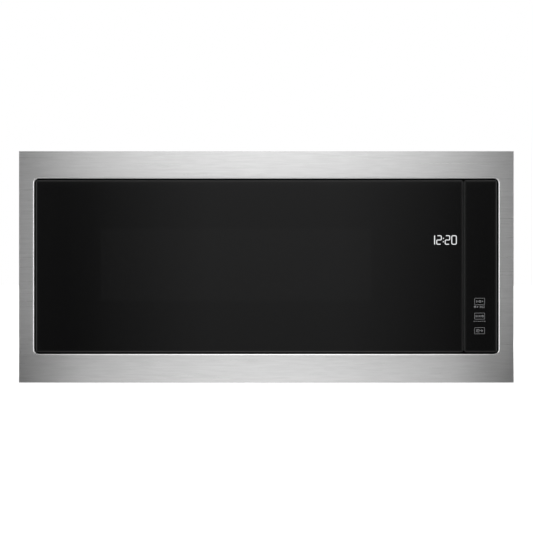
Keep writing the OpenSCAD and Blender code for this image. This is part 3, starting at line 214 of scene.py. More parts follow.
def at(x, y, z, turn=Matrix()):
    """A place, with the turn that comes before the move."""
    return Matrix.Translation((x, y, z)) @ turn


def copy_of(piece, name, matrix=Matrix()):
    """A copy with its own mesh, moved by the matrix."""
    twin = piece.copy()
    twin.data = piece.data.copy()
    twin.name = twin.data.name = name
    bpy.context.collection.objects.link(twin)
    twin.data.transform(matrix)
    return twin


def join(name, pieces):
    """Makes one piece of several."""
    choose(pieces[0])
    for piece in pieces:
        piece.select_set(True)
    bpy.ops.object.join()
    return named(name)


def repeat(name, pattern, places):
    """One piece made of the pattern's copies at all the places, in the pattern's stead."""
    copies = [copy_of(pattern, pattern.name, place) for place in places]
    bpy.data.objects.remove(pattern)
    return join(name, copies)


def apply_modifier(piece, kind, **settings):
    """Adds a modifier and applies it."""
    choose(piece)
    modifier = piece.modifiers.new(kind, kind)
    for key, value in settings.items():
        setattr(modifier, key, value)
    bpy.ops.object.modifier_apply(modifier=modifier.name)


def cut_with(piece, cutter):
    """Takes the cutter's shape out of the piece."""
    apply_modifier(piece, "BOOLEAN", operation="DIFFERENCE", solver="EXACT", object=cutter)
    bpy.data.objects.remove(cutter)


def rounded_path(points, radius, closed=False, steps=4):
    """A path's points with its corners made arcs of the given radius."""
    path = []
    count = len(points)
    for i, (x, z) in enumerate(points):
        if not closed and i in (0, count - 1):
            path.append((x, z))
            continue
        here = Vector((x, z))
        before = Vector(points[i - 1]) - here
        after = Vector(points[(i + 1) % count]) - here
        room = min(radius, before.length / 2.01, after.length / 2.01)
        start = here + before.normalized() * room
        end = here + after.normalized() * room
        for k in range(steps + 1):
            t = k / steps
            path.append(tuple((1 - t) ** 2 * start + 2 * t * (1 - t) * here + t * t * end))
    return path


def wire(name, paths, radius):
    """Round wire along (points, closed) paths."""
    deselect()
    bpy.ops.curve.primitive_bezier_curve_add(location=(0, 0, 0))
    shape = named(name).data
    shape.splines.clear()
    shape.dimensions = "3D"
    shape.bevel_depth = radius
    shape.bevel_resolution = 1
    shape.use_fill_caps = True
    for path, closed in paths:
        spline = shape.splines.new("POLY")
        spline.points.add(len(path) - 1)
        for point, place in zip(spline.points, path):
            point.co = (*place, 1)
        spline.use_cyclic_u = closed
    bpy.ops.object.convert(target="MESH")
    return bpy.context.object


def stroke(name, paths, width, y, height):
    """Ink or light lines that lie on a surface facing the front: paths of (x, z) points."""
    paths = [([(x, 0, z) for x, z in path], closed) for path, closed in paths]
    line = wire(name, paths, width / 2)
    line.scale = (1, height / (width / 2), 1)
    line.location = (0, y, 0)
    return settle(line)


# Finishes

def shade(colour, factor):
    """A colour made darker or lighter."""
    return tuple(part * factor for part in colour)


def maths(operation, swapped=False):
    """A method of Signal that adds one Math node."""
    def method(self, *others):
        values = (*others, self) if swapped else (self, *others)
        return self.finish.node("ShaderNodeMath", dict(enumerate(values)), operation=operation)
    return method


class Signal:
    """A socket of a finish. Sums, products and comparisons on it add their Math nodes."""

    def __init__(self, finish, socket):
        self.finish = finish
        self.socket = socket

    __add__ = __radd__ = maths("ADD")
    __sub__ = maths("SUBTRACT")
    __rsub__ = maths("SUBTRACT", swapped=True)
    __mul__ = __rmul__ = maths("MULTIPLY")
    __truediv__ = maths("DIVIDE")
    __rtruediv__ = maths("DIVIDE", swapped=True)
    __gt__ = maths("GREATER_THAN")
    __lt__ = maths("LESS_THAN")
    size = maths("ABSOLUTE")
    sine = maths("SINE")

    def sway(self, amount):
        """Makes a level from 0 to 1 one that goes evenly below and above 0."""
        return (self - 0.5) * amount

    def within(self, low, high):
        """1 between two levels and 0 outside them."""
        return (self > low) * (self < high)

    def spread(self, low, high, start=0.0, end=1.0):
        """Maps a range onto another and clamps it."""
        return self.finish.node("ShaderNodeMapRange",
                                {0: self, 1: low, 2: high, 3: start, 4: end})


class Finish:
    """The nodes of one material, or of the world."""

    def __init__(self, name, owner=None):
        self.owner = owner or bpy.data.materials.new(name)
        self.owner.use_nodes = True
        self.tree = self.owner.node_tree
        self.tree.nodes.clear()
        self.place = self.node("ShaderNodeTexCoord", output="Object")

    def node(self, kind, values=None, output=0, stops=(), **settings):
        """Adds a node: its settings or its ramp's (place, level) stops come first, then the
        values or links of its sockets."""
        node = self.tree.nodes.new(kind)
        for key, value in settings.items():
            setattr(node, key, value)
        if stops:
            ramp = node.color_ramp.elements
            ramp[0].position, ramp[1].position = stops[0][0], stops[-1][0]
            for place, _ in stops[1:-1]:
                ramp.new(place)
            for element, (_, level) in zip(ramp, stops):
                element.color = (level, level, level, 1)
        for name, value in (values or {}).items():
            if isinstance(value, Signal):
                self.tree.links.new(value.socket, node.inputs[name])
            else:
                node.inputs[name].default_value = value
        return Signal(self, node.outputs[output]) if node.outputs else None

    def axes(self, vector=None):
        """The three numbers of a vector, the place if none is given."""
        split = self.node("ShaderNodeSeparateXYZ", {0: vector or self.place})
        return [Signal(self, socket) for socket in split.socket.node.outputs]

    def facing(self, axis):
        """How far the surface faces along an axis, from 0 to 1."""
        way = self.node("ShaderNodeNewGeometry", output="Normal")
        return self.axes(way)[axis].size()

    def seen(self, unseen=0.0):
        """1 to the camera, in reflections and through glass; the given level for other rays."""
        path = self.node("ShaderNodeLightPath").socket.node.outputs
        camera, mirrored, through = (Signal(self, path["Is %s Ray" % ray])
                                     for ray in ("Camera", "Glossy", "Transmission"))
        return (camera + mirrored + through).spread(0.0, 1.0, unseen)

    def vector(self, x, y, z):
        """Three numbers made a vector, or a colour."""
        return self.node("ShaderNodeCombineXYZ", {0: x, 1: y, 2: z})

    def stretched(self, x, y, z):
        """The place, with each axis multiplied."""
        return self.times(self.place, (x, y, z))

    def times(self, first, second):
        """Two colours or vectors, multiplied part by part."""
        return self.node("ShaderNodeVectorMath", {0: first, 1: second}, operation="MULTIPLY")

    def noise(self, vector, scale, detail=2.0, rough=0.5):
        """Cloudy noise, from 0 to 1."""
        return self.node("ShaderNodeTexNoise", {
            "Vector": vector, "Scale": scale, "Detail": detail, "Roughness": rough})

    def cells(self, vector, scale, output="Distance", **settings):
        """A field of cells: the distance from their middles, or their own colours."""
        return self.node("ShaderNodeTexVoronoi", {"Vector": vector, "Scale": scale},
                         output=output, **settings)

    def curve(self, value, *stops):
        """A level that follows the (place, level) stops while the value goes from 0 to 1."""
        return self.node("ShaderNodeValToRGB", {0: value}, stops=stops)

    def mix(self, factor, *colours):
        """Between two colours."""
        first, second = (each if isinstance(each, Signal) else (*each, 1) for each in colours)
        return self.node("ShaderNodeMix", {0: factor, 6: first, 7: second}, output=2,
                         data_type="RGBA")

    def tone(self, level, low, high, colour, factor):
        """A colour that goes to a darker or lighter one while the level goes from low to high."""
        return self.mix(level.spread(low, high), colour, shade(colour, factor))

    def bump(self, height, depth, strength):
        """Relief of the given depth in metres."""
        return self.node("ShaderNodeBump", {
            "Strength": strength, "Distance": depth, "Height": height})

    def glow(self, strength):
        """White light."""
        return self.node("ShaderNodeEmission", {"Color": WHITE, "Strength": strength})

    def output(self, shader):
        """Closes the finish and gives the material back."""
        self.node("ShaderNodeOutputMaterial", {"Surface": shader})
        return self.owner

    def surface(self, **sockets):
        """The shader: a socket's name is written with underscores."""
        values = {}
        for name, value in sockets.items():
            socket = name.replace("_", " ").title().replace("Ior", "IOR")
            if isinstance(value, tuple):
                value = (*value, 1)
            values[socket] = value
        return self.output(self.node("ShaderNodeBsdfPrincipled", values))


def brushed(name, colour, streak=0.05, rough=0.3, opening=None):
    """Steel brushed along its length, with long soft streaks; painted shade darkens it in the
    opening.
    """
    f = Finish(name)
    x, y, z = f.axes()
    is_side = f.facing(0) > 0.75
    is_top = f.facing(2) > 0.75
    along = x + y * is_side
    across = z * (1 - is_top) + y * is_top + x * is_side * 0.2

    def grain(length, width, seed, detail=2.0, fuzz=0.6):
        return f.noise(f.vector(along * length, across * width, seed), 1.0, detail, fuzz)

    fine, hair = grain(9, 3400, 0), grain(22, 9000, 7, 1.0, 0.5)
    broad, patch = grain(5, 520, 3), grain(28, 330, 11)
    cloud = f.noise(f.stretched(3, 3, 5), 1.0)
    level = 1 + (fine.sway(1.6) + hair.sway(2.4) + broad.sway(1.4) + patch.sway(5)
                 + cloud.sway(0.5)) * streak
    tint = f.times(colour, f.vector(level, level, level))
    if opening:
        half, low, high, lip = opening
        # Painted shade: inside the opening the steel turns near-black, so the gap behind the lip
        # reads dark.
        painted = (x.size() < half) * z.within(low, high) * (y > lip)
        tint = f.mix(painted, tint, (0.002, 0.002, 0.002))
    return f.surface(
        base_color=tint, metallic=1.0, roughness=rough + broad.sway(0.12) + fine.sway(0.08),
        anisotropic=0.85, anisotropic_rotation=0.25,
        normal=f.bump(fine * 0.5 + broad * 0.2 + hair * 0.3, 0.00001, 0.2))


def zinc(name, colour):
    """Galvanised sheet: overlapping crystals with their own tone, under a faint mottle."""
    f = Finish(name)
    warp = f.noise(f.place, 45.0)
    moved = f.node("ShaderNodeVectorMath", {
        0: f.place, 1: f.vector(warp * 0.012, warp * 0.01, warp * 0.011)}, operation="ADD")
    crystal = f.axes(f.cells(moved, 130.0, output="Color"))
    small = f.axes(f.cells(moved, 340.0, output="Color"))
    mottle = f.noise(f.place, 12.0, 4.0, 0.6)
    grain = f.noise(f.place, 900.0)
    level = 0.90 + crystal[0] * 0.10 + small[1] * 0.06 + mottle.sway(0.12)
    return f.surface(
        base_color=f.times(colour, f.vector(level, level, level * 1.008)), metallic=1.0,
        roughness=0.32 + crystal[1] * 0.10 + small[0] * 0.05 + mottle.sway(0.1),
        normal=f.bump(crystal[2] * 0.4 + grain * 0.6, 0.00002, 0.4))


def bright(name, colour, rough=0.22):
    """Plated or turned steel with fine scratches."""
    f = Finish(name)
    scratch = f.noise(f.stretched(900, 900, 120), 1.0, 3.0, 0.7)
    dull = f.noise(f.place, 60.0, 3.0, 0.6)
    return f.surface(base_color=f.tone(dull, 0.35, 0.75, colour, 0.84), metallic=1.0,
                     roughness=rough + scratch.sway(0.12) + dull.sway(0.14),
                     normal=f.bump(scratch, 0.00001, 0.3))


def laminated(name, colour):
    """A stack of varnished steel sheets, seen on edge on its sides and flat on its ends."""
    f = Finish(name)
    sheet = 0.0009
    edge = 1 - (f.facing(1) > 0.75)
    line = (f.axes()[1] * (2 * pi / sheet)).sine().spread(-1.0, 1.0)
    stain = f.noise(f.place, 90.0, 4.0, 0.65)
    rub = f.noise(f.stretched(400, 2400, 400), 1.0)
    tint = f.tone(stain, 0.35, 0.8, colour, 1.9)
    tint = f.mix(edge * line * 0.55, tint, shade(colour, 3.2))
    return f.surface(base_color=tint, metallic=0.75,
                     roughness=0.38 + stain.sway(0.3) + rub * 0.08,
                     normal=f.bump(line * edge + rub * 0.3, 0.00006, 0.5))


def enamel(name, colour, rough=0.3, peel=0.6, fleck=None, shine=0.5):
    """Baked paint with a faint orange peel, flecked where a second colour is given."""
    f = Finish(name)
    skin = f.noise(f.place, 700.0)
    cloud = f.noise(f.place, 7.0, 3.0)
    tint = f.tone(cloud, 0.3, 0.75, colour, 0.93)
    if fleck:
        spots = f.cells(f.place, 900.0) < 0.2
        chance = f.axes(f.cells(f.place, 900.0, output="Color"))[0] > 0.55
        tint = f.mix(spots * chance, tint, fleck)
    return f.surface(base_color=tint, roughness=rough + skin.sway(0.1) + cloud.sway(0.06),
                     specular_ior_level=shine, normal=f.bump(skin, 0.00003, peel))


def moulded(name, colour, rough=0.45, grain=1300.0, depth=0.00003):
    """Moulded plastic or rubber with a spark-eroded grain and a little handling shine."""
    f = Finish(name)
    skin = f.noise(f.place, grain, 3.0, 0.6)
    flow = f.noise(f.place, 18.0, 3.0, 0.55)
    pits = f.cells(f.place, grain * 0.8)
    return f.surface(base_color=f.tone(flow, 0.3, 0.75, colour, 0.82),
                     roughness=rough + flow.sway(0.16) + skin.sway(0.1),
                     normal=f.bump(skin * 0.6 + pits * 0.4, depth, 0.5))


def printed_glass(name, colour, edge, window=None):
    """Black printed glass: polished face, finely ground edge, and the dotted window print."""
    f = Finish(name)
    x, y, z = f.axes()
    ground = f.facing(1) < 0.97
    dust = f.noise(f.place, 35.0, 4.0, 0.6)
    tint = f.tone(dust, 0.3, 0.8, colour, 1.12)
    if window:
        x0, x1, z0, z1, dots = window
        inside = x.within(x0, x1) * z.within(z0, z1) * (y < -0.0295)
        spot = f.cells(f.vector(x, 0, z), 620.0, feature="F1") < 0.42
        tint = f.mix(inside * (spot * 0.5 + 0.5), tint, dots)
    # Outside these edges, a band along the glass edge takes a lighter tone than the print.
    x0, x1, z0, z1 = edge
    tint = f.mix(x.within(x0, x1) * z.within(z0, z1), (0.007, 0.007, 0.0071), tint)
    tint = f.mix(ground, tint, (0.003, 0.003, 0.003))
    frost = f.noise(f.place, 2600.0)
    return f.surface(base_color=tint, ior=1.5,
                     roughness=0.035 + ground * (0.5 + frost * 0.1) + dust.sway(0.012),
                     normal=f.bump(frost * ground, 0.00002, 0.4))


def clear_glass(name, colour, rough=0.02, ripple=0.0):
    """Clear or tinted glass with a very slight pressed ripple."""
    f = Finish(name)
    wave = f.noise(f.place, 55.0, 2.0, 0.4)
    smear = f.noise(f.place, 22.0, 4.0, 0.6)
    return f.surface(base_color=f.tone(smear, 0.35, 0.8, colour, 0.95), ior=1.5,
                     roughness=rough + smear.spread(0.4, 0.9) * 0.03,
                     transmission_weight=1.0, normal=f.bump(wave, 0.0004, 0.06 + ripple))


def circuit(name, mask, parts):
    """Solder mask with traces and pads; parts are boxes with their own colour."""
    f = Finish(name)
    x, y, z = f.axes()
    flow = f.noise(f.place, 70.0, 3.0)
    trace = f.cells(f.place, 260.0, feature="DISTANCE_TO_EDGE") < 0.06
    pads = f.cells(f.place, 330.0) < 0.16
    tint = f.tone(flow, 0.3, 0.7, mask, 0.72)
    tint = f.mix(trace * 0.55, tint, tuple(part * 1.9 + 0.01 for part in mask))
    tint = f.mix(pads, tint, (0.62, 0.58, 0.5))
    covers = []
    for (x0, x1, y0, y1, z0, z1), colour in parts:
        covers.append(x.within(x0, x1) * y.within(y0, y1) * z.within(z0, z1))
        tint = f.mix(covers[-1], tint, colour)
    metal = pads * (1 - sum(covers[1:], covers[0]).spread(0.0, 1.0))
    return f.surface(base_color=tint, metallic=metal * 0.8,
                     roughness=0.42 - metal * 0.15 + flow.sway(0.1),
                     normal=f.bump(trace * 0.5 + pads, 0.00003, 0.4))


def mica(name, colour):
    """Pressed mica sheet: overlapping flakes with a pearly face."""
    f = Finish(name)
    flake = f.axes(f.cells(f.stretched(1, 1.0, 1.6), 160.0, output="Color"))
    small = f.axes(f.cells(f.place, 420.0, output="Color"))
    tint = f.mix(flake[0] * 0.6 + small[0] * 0.3, colour, shade(colour, 0.72))
    return f.surface(base_color=tint, roughness=0.38 + flake[1] * 0.2, sheen_weight=0.1,
                     normal=f.bump(flake[2] * 0.6 + small[1] * 0.4, 0.00008, 0.4))


def wound(name, colour):
    """Enamelled copper wire in layers, under bands of clear varnish."""
    f = Finish(name)
    band = f.noise(f.stretched(30, 30, 600), 1.0)
    drip = f.noise(f.place, 120.0, 3.0, 0.6)
    return f.surface(base_color=f.tone(drip, 0.35, 0.75, colour, 0.55), metallic=0.85,
                     roughness=0.3 + band.sway(0.2) + drip.sway(0.2),
                     coat_weight=0.4, coat_roughness=0.2, normal=f.bump(band, 0.00004, 0.4))


def ink(name, colour):
    """Screen-printed ink with slightly uneven cover."""
    f = Finish(name)
    cover = f.noise(f.place, 2600.0)
    return f.surface(base_color=f.tone(cover, 0.3, 0.8, colour, 0.9),
                     roughness=0.5 + cover.sway(0.1), normal=f.bump(cover, 0.00001, 0.3))


def lit(name, colour):
    """Lit display segments, with a slight unevenness."""
    f = Finish(name)
    glow = f.noise(f.place, 500.0, 1.0)
    return f.surface(base_color=(0.02, 0.02, 0.02), roughness=0.4, emission_strength=1.0,
                     emission_color=f.tone(glow, 0.2, 0.8, colour, 0.95))


def wear(material, *pieces):
    """Gives pieces, or CAD nodes by their names, a material."""
    for piece in pieces:
        if isinstance(piece, str):
            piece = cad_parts[piece]
        if not piece.material_slots:
            piece.data.materials.append(material)
        for slot in piece.material_slots:
            slot.material = material


def worn_by(node):
    """The material that a CAD node wears."""
    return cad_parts[node].material_slots[0].material


def mount(piece, body, slot, material, *nodes):
    """A new piece rides on its body, takes its finish, and stands for the nodes it replaces."""
    wear(material, piece)
    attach(piece, body)
    if nodes:
        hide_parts(*nodes)


# Settings

class MicrowaveSizes(bpy.types.PropertyGroup):
    """Sizes of the details that are added to the frame."""

    camera_distance: FloatProperty(
        name="Camera distance", description="From the trim's front face",
        default=6.0, unit="LENGTH")
    view_width: FloatProperty(
        name="View width", description="Width of the picture at the trim's front face",
        default=0.81794, unit="LENGTH")
    digit_stroke: FloatProperty(
        name="Digit stroke", description="Width of the lit clock segments",
        default=0.00139, unit="LENGTH")
    key_stroke: FloatProperty(
        name="Key stroke", description="Width of the printed key outlines",
        default=0.00042, unit="LENGTH")
    sign_stroke: FloatProperty(
        name="Sign stroke", description="Width of the lines of the signs in and under the keys",
        default=0.00058, unit="LENGTH")
    ink_height: FloatProperty(
        name="Ink height", description="How far print stands off the glass",
        default=0.00003, unit="LENGTH")
    hole_pitch: FloatProperty(
        name="Hole pitch", description="Spacing of the holes in the door's screen",
        default=0.0042, unit="LENGTH")
    hole_web: FloatProperty(
        name="Hole web", description="Half of the metal between two holes",
        default=0.00075, unit="LENGTH")
    turns: IntProperty(
        name="Turns", description="Turns of wire shown on each winding", default=13, min=4)


class MicrowaveColours(bpy.types.PropertyGroup):
    """Colours of the finishes."""

    steel: FloatVectorProperty(
        name="Steel", description="Brushed trim",
        default=(0.60, 0.60, 0.60), subtype="COLOR")
    sheet: FloatVectorProperty(
        name="Sheet", description="Galvanised case",
        default=(0.50, 0.51, 0.52), subtype="COLOR")
    glass: FloatVectorProperty(
        name="Glass", description="Printed front glass",
        default=(0.0019, 0.0019, 0.0020), subtype="COLOR")
    dots: FloatVectorProperty(
        name="Dots", description="Window print on the glass",
        default=(0.0042, 0.0042, 0.0043), subtype="COLOR")
    cavity: FloatVectorProperty(
        name="Cavity", description="Enamel inside the oven",
        default=(0.36, 0.37, 0.38), subtype="COLOR")
    print_ink: FloatVectorProperty(
        name="Ink", description="Key outlines and signs",
        default=(0.32, 0.32, 0.33), subtype="COLOR")
    display: FloatVectorProperty(
        name="Display", description="Lit clock segments",
        default=(0.93, 0.94, 0.95), subtype="COLOR")
    board: FloatVectorProperty(
        name="Board", description="Solder mask",
        default=(0.012, 0.085, 0.04), subtype="COLOR")
    copper: FloatVectorProperty(
        name="Copper", description="Transformer windings",
        default=(0.72, 0.30, 0.13), subtype="COLOR")


def sizes():
    """The sizes as the user has set them."""
    return bpy.context.scene.microwave_sizes


def palette(name):
    """One of the colours as the user has set it."""
    return tuple(getattr(bpy.context.scene.microwave_colours, name))


# Operators

class MICROWAVE_OT_camera(bpy.types.Operator):
    """Sets the camera square in front of the trim"""

    bl_idname = "microwave.camera"
    bl_label = "Camera"
    bl_options = {"REGISTER", "UNDO"}

    def execute(self, context):
        aim_x, aim_z, film = 0.00025, 0.1621, 36
        distance = sizes().camera_distance
        deselect()
        bpy.ops.object.camera_add(location=(aim_x, front_of("trim_frame") - distance, aim_z),
                                  rotation=(pi / 2, 0, 0))
        camera = bpy.context.object
        camera.data.sensor_width = film
        camera.data.lens = film * distance / sizes().view_width
        camera.data.clip_start = 0.05
        camera.data.clip_end = 60
        bpy.context.scene.camera = camera
        return {"FINISHED"}


def rolled_lip():
    """The roll round the opening: near-white on its sides and bottom as a painted highlight, trim
    steel on top.
    """
    edge_x, z0, z1, radius, width = 0.3561, 0.02795, 0.29705, 0.0070, 0.0021
    sunk, height, rounded_from = 0.0012, 0.0021, 0.0008
    face = front_of("trim_frame")
    roll = add_sheet("rolled_lip", -edge_x - width, edge_x + width, z0 - width, z1 + width,
                     face + sunk)
    edit(roll)
    bevel(radius + width, 8, "VERTICES")
    bpy.ops.mesh.select_all(action="SELECT")
    bpy.ops.mesh.inset(thickness=width, depth=0, use_even_offset=True)
    bpy.ops.mesh.delete(type="FACE")
    bpy.ops.mesh.select_all(action="SELECT")
    bpy.ops.mesh.extrude_region_move(TRANSFORM_OT_translate={"value": (0, -height, 0)})
    half = width / 2
    for offset, segments, inner in ((0.0015, 5, False), (0.00025, 2, True)):
        pick(lambda place, way:
             place.y < face - rounded_from and abs(way.y) < 1e-5 and inner == (
                 abs(place.x) < edge_x + half and z0 - half < place.z < z1 + half), "EDGE")
        bevel(offset, segments)
    close_edit(50)
    # The near-white steel on the lip's sides and bottom is a painted highlight.
    mount(roll, "chassis", "brushed_trim",
          brushed("polished steel lip", (0.98, 0.98, 0.98), 0.02, 0.24))
    roll.data.materials.append(brushed("dull upper lip", palette("steel"), 0.02, 0.3))
    # The top run keeps the trim's own steel, without the painted highlight.
    for polygon in roll.data.polygons:
        if polygon.center.z > z1:
            polygon.material_index = 1


class MICROWAVE_OT_trim(bpy.types.Operator):
    """Brushes the trim frame, rolls its lip and finishes the sheet metal"""

    bl_idname = "microwave.trim"
    bl_label = "Trim and mounting"
    bl_options = {"REGISTER", "UNDO"}

    def execute(self, context):
        # The fourth number is the depth behind which the opening's steel gets painted shade.
        half_width, low, high, gap_shade_from = 0.3573, 0.0267, 0.2983, -0.0195
        wear(brushed("brushed steel trim", palette("steel"),
                     opening=(half_width, low, high, gap_shade_from)), "trim_frame")
        wear(zinc("galvanised sheet", palette("sheet")), "trim_bracket_left",
             "trim_bracket_right", "support_rail_left", "support_rail_right", "toe_strip",
             "base_plate", "outer_case", "rear_panel", "waveguide", "lamp_housing",
             "capacitor_clamp", "magnetron_yoke", "turntable_motor")
        rolled_lip()
        return {"FINISHED"}


def print_edges(node):
    """The print's edges: a band just inside the ground edge of the glass gets a lighter tone."""
    low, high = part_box(node)
    margin = 0.0030
    return low[0] + margin, high[0] - margin, low[2] + margin, high[2] - margin


def seam_seal():
    """A dark block in the seam on the strip's side: painted shade of the gap between door and
    strip.
    """
    width, sunk, past, ends = 0.0016, 0.0028, 0.004, 0.002
    low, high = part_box("strip_glass")
    seam_fill = add_block("seam_seal", low[0] - width, low[0], low[1] + sunk, high[1] + past,
                     low[2] + ends, high[2] - ends)
    edit(seam_fill)
    pick(lambda place, way: place.x < low[0] - 0.001 and abs(way.z) > 0.1, "EDGE")
    bevel(0.0006, 3)
    close_edit(40)
    # Near-black finish: the shade in the seam is painted into this block.
    mount(seam_fill, "chassis", "black_rubber",
          moulded("grey seal rubber", (0.005, 0.005, 0.0052), 0.6, 900.0))


class MICROWAVE_OT_glass(bpy.types.Operator):
    """Finishes the door glass, the strip glass and the front plate behind them"""

    bl_idname = "microwave.glass"
    bl_label = "Front glass"
    bl_options = {"REGISTER", "UNDO"}

    def execute(self, context):
        window = (-0.2537, 0.1606, 0.1098, 0.2199, palette("dots"))
        wear(printed_glass("door glass print", palette("glass"), print_edges("door_glass"),
                           window), "door_glass")
        wear(printed_glass("strip glass print", palette("glass"), print_edges("strip_glass")),
             "strip_glass")
        seam_seal()
        wear(enamel("black baked enamel", (0.002, 0.002, 0.002), 0.5, shine=0.08),
             "front_plate")
        return {"FINISHED"}


class MICROWAVE_OT_clock(bpy.types.Operator):
    """Lights the clock's segments on the door glass"""

    bl_idname = "microwave.clock"
    bl_label = "Clock"
    bl_options = {"REGISTER", "UNDO"}

    def execute(self, context):
        low, high, width, bend = 0.1962, 0.2093, 0.0070, 0.0016
        middle = (low + high) / 2

        def two(left):
            right = left + width
            return rounded_path([(left + 0.0011, high), (right, high), (right, middle),
                                 (left, middle), (left, low), (right - 0.0012, low)], bend), False

        def nought(left):
            right = left + width
            return rounded_path([(left, low), (left, high), (right, high), (right, low)],
                                bend * 1.4, True), True

        def upright(x, bottom, top):
            return [(x, top), (x, bottom)], False

        paths = [upright(0.2578, low - 0.0003, high + 0.0003), two(0.2611),
                 upright(0.2712, 0.1993, 0.2009), upright(0.2712, 0.2044, 0.2060),
                 two(0.2740), nought(0.2841)]
        piece = stroke("clock_digits", paths, sizes().digit_stroke, front_of("door_glass"),
                       sizes().ink_height)
        mount(piece, "door", "black_glass", lit("lit white segments", palette("display")))
        return {"FINISHED"}


class MICROWAVE_OT_keys(bpy.types.Operator):
    """Prints the three keys on the strip glass, with plain signs in and under them"""

    bl_idname = "microwave.keys"
    bl_label = "Keys"
    bl_options = {"REGISTER", "UNDO"}

    def execute(self, context):
        face = front_of("strip_glass")
        height = sizes().ink_height
        white = ink("white printed ink", palette("print_ink"))
        left, right = 0.3190, 0.3344
        centre = (left + right) / 2

        def outline(low, high):
            return rounded_path([(left, low), (left, high), (right, high), (right, low)],
                                0.0011, True), True

        # The signs are drawn in mm, from the middle of the keys and from the floor
        def line(*points, closed=False):
            return [(centre + x * MM, z * MM) for x, z in points], closed

        def loop(*points):
            return line(*points, closed=True)

        def ring(x, z, radius):
            turns = [k * pi / 8 for k in range(16)]
            return loop(*[(x + radius * cos(turn), z + radius * sin(turn)) for turn in turns])

        signs = {
            "key_start": (outline(0.10365, 0.1135), [
                loop((-5.0, 107.0), (-5.0, 110.2), (-2.2, 108.6)),
                line((-4.2, 107.9), (-4.2, 109.3)),
                ring(0.4, 108.6, 1.6),
                line((0.4, 108.6), (0.4, 109.7)), line((0.4, 108.6), (1.2, 108.3)),
                line((3.6, 108.6), (5.4, 108.6)), line((4.5, 107.7), (4.5, 109.5)),
                ring(-7.0, 100.3, 1.3), line((-7.0, 101.2), (-7.0, 100.3), (-6.3, 100.3)),
                line((-4.4, 100.3), (-2.0, 100.3)), line((-3.2, 99.1), (-3.2, 101.5)),
                line((0.0, 101.6), (2.6, 101.6), (2.6, 99.0), (0.0, 99.0)),
                line((0.5, 100.3), (2.6, 100.3)),
                loop((4.6, 101.6), (7.2, 101.6), (7.2, 99.0), (4.6, 99.0)),
            ]),
            "key_cancel": (outline(0.0814, 0.0908), [
                loop((-5.8, 84.8), (-5.8, 87.4), (-3.2, 87.4), (-3.2, 84.8)),
                line((-5.0, 86.1), (-4.0, 86.1)),
                line((-1.5, 84.6), (1.5, 87.6)), line((-1.5, 87.6), (1.5, 84.6)),
                ring(4.5, 86.1, 1.5), line((4.5, 87.1), (4.5, 86.1), (5.3, 85.8)),
                *[line((x, 78.2), (x + 2.4, 78.2)) for x in (-9.4, -6.2, -3.0, 0.2, 3.4, 6.6)],
            ]),
            "key_open": (outline(0.0590, 0.0685), [
                line((-0.4, 61.9), (-4.6, 61.9), (-4.6, 65.7), (-0.4, 65.7)),
                line((-3.4, 62.9), (-3.4, 64.7)), line((-1.9, 63.8), (5.0, 63.8)),
                line((2.9, 65.5), (5.0, 63.8), (2.9, 62.1)),
            ]),
        }
        for name, (border, marks) in signs.items():
            piece = join(name, [stroke(name, [border], sizes().key_stroke, face, height),
                                stroke(name, marks, sizes().sign_stroke, face, height)])
            mount(piece, "chassis", "black_glass", white)
        return {"FINISHED"}


def perforated_plate(x0, x1, z0, z1, y, thickness):
    """The perforated plate: one six-sided cell, repeated and welded."""
    pitch = sizes().hole_pitch
    rise = pitch * sqrt(3) / 2
    columns = int((x1 - x0) / pitch) + 2
    rows = int((z1 - z0) / rise / 2) + 1
    start_x = (x0 + x1) / 2 - (columns - 0.5) * pitch / 2
    start_z = (z0 + z1) / 2 - (rows * 2 - 1) * rise / 2
    deselect()
    bpy.ops.mesh.primitive_circle_add(vertices=6, radius=pitch / sqrt(3), fill_type="NGON",
                                      location=(start_x, y, start_z), rotation=(pi / 2, 0, 0))
    cell = settle(named("cell"))
    edit(cell)
    bpy.ops.mesh.inset(thickness=sizes().hole_web, depth=0)
    bpy.ops.mesh.delete(type="FACE")
    bpy.ops.object.mode_set(mode="OBJECT")
    twin = copy_of(cell, "cell", at(pitch / 2, 0, rise))
    plate = join("perforated_plate", [cell, twin])
    for count, step in ((columns, (pitch, 0, 0)), (rows, (0, 0, rise * 2))):
        apply_modifier(plate, "ARRAY", count=count, use_relative_offset=False,
                       use_constant_offset=True, constant_offset_displace=step)
    apply_modifier(plate, "WELD", merge_threshold=0.00002)
    apply_modifier(plate, "SOLIDIFY", thickness=thickness, offset=-1)
    return plate


class MICROWAVE_OT_door(bpy.types.Operator):
    """Cuts the screen's window, fills it with the perforated plate and finishes the inside"""

    bl_idname = "microwave.door"
    bl_label = "Door inside"
    bl_options = {"REGISTER", "UNDO"}

    def execute(self, context):
        window = -0.2625, 0.1695, 0.1010, 0.2290
        x0, x1, z0, z1 = window
        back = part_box("door_screen")[1][1]
        sheet = 0.001
        black = enamel("black screen enamel", (0.012, 0.012, 0.0125), 0.32)
        pan = copy_of(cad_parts["door_screen"], "screen_pan")
        pan.parent = None
        clean(pan)
        cut_with(pan, add_block("window", x0, x1, back - 0.003, back + 0.003, z0, z1))
        clean(pan, 30)
        mount(pan, "door", "black_enamel", black, "door_screen")
        plate = perforated_plate(*window, back - sheet * 0.85, sheet * 0.7)
        mount(plate, "door", "black_enamel", black, "door_screen")
        wear(moulded("black grained plastic", (0.014, 0.014, 0.0145)), "door_frame",
             "choke_cover", "display_module", "strip_housing", "interlock_switches",
             "air_duct", "fan_shroud", "diode", "thermal_cutouts")
        wear(clear_glass("smoked inner pane", (0.42, 0.43, 0.44), 0.02), "inner_pane")
        return {"FINISHED"}


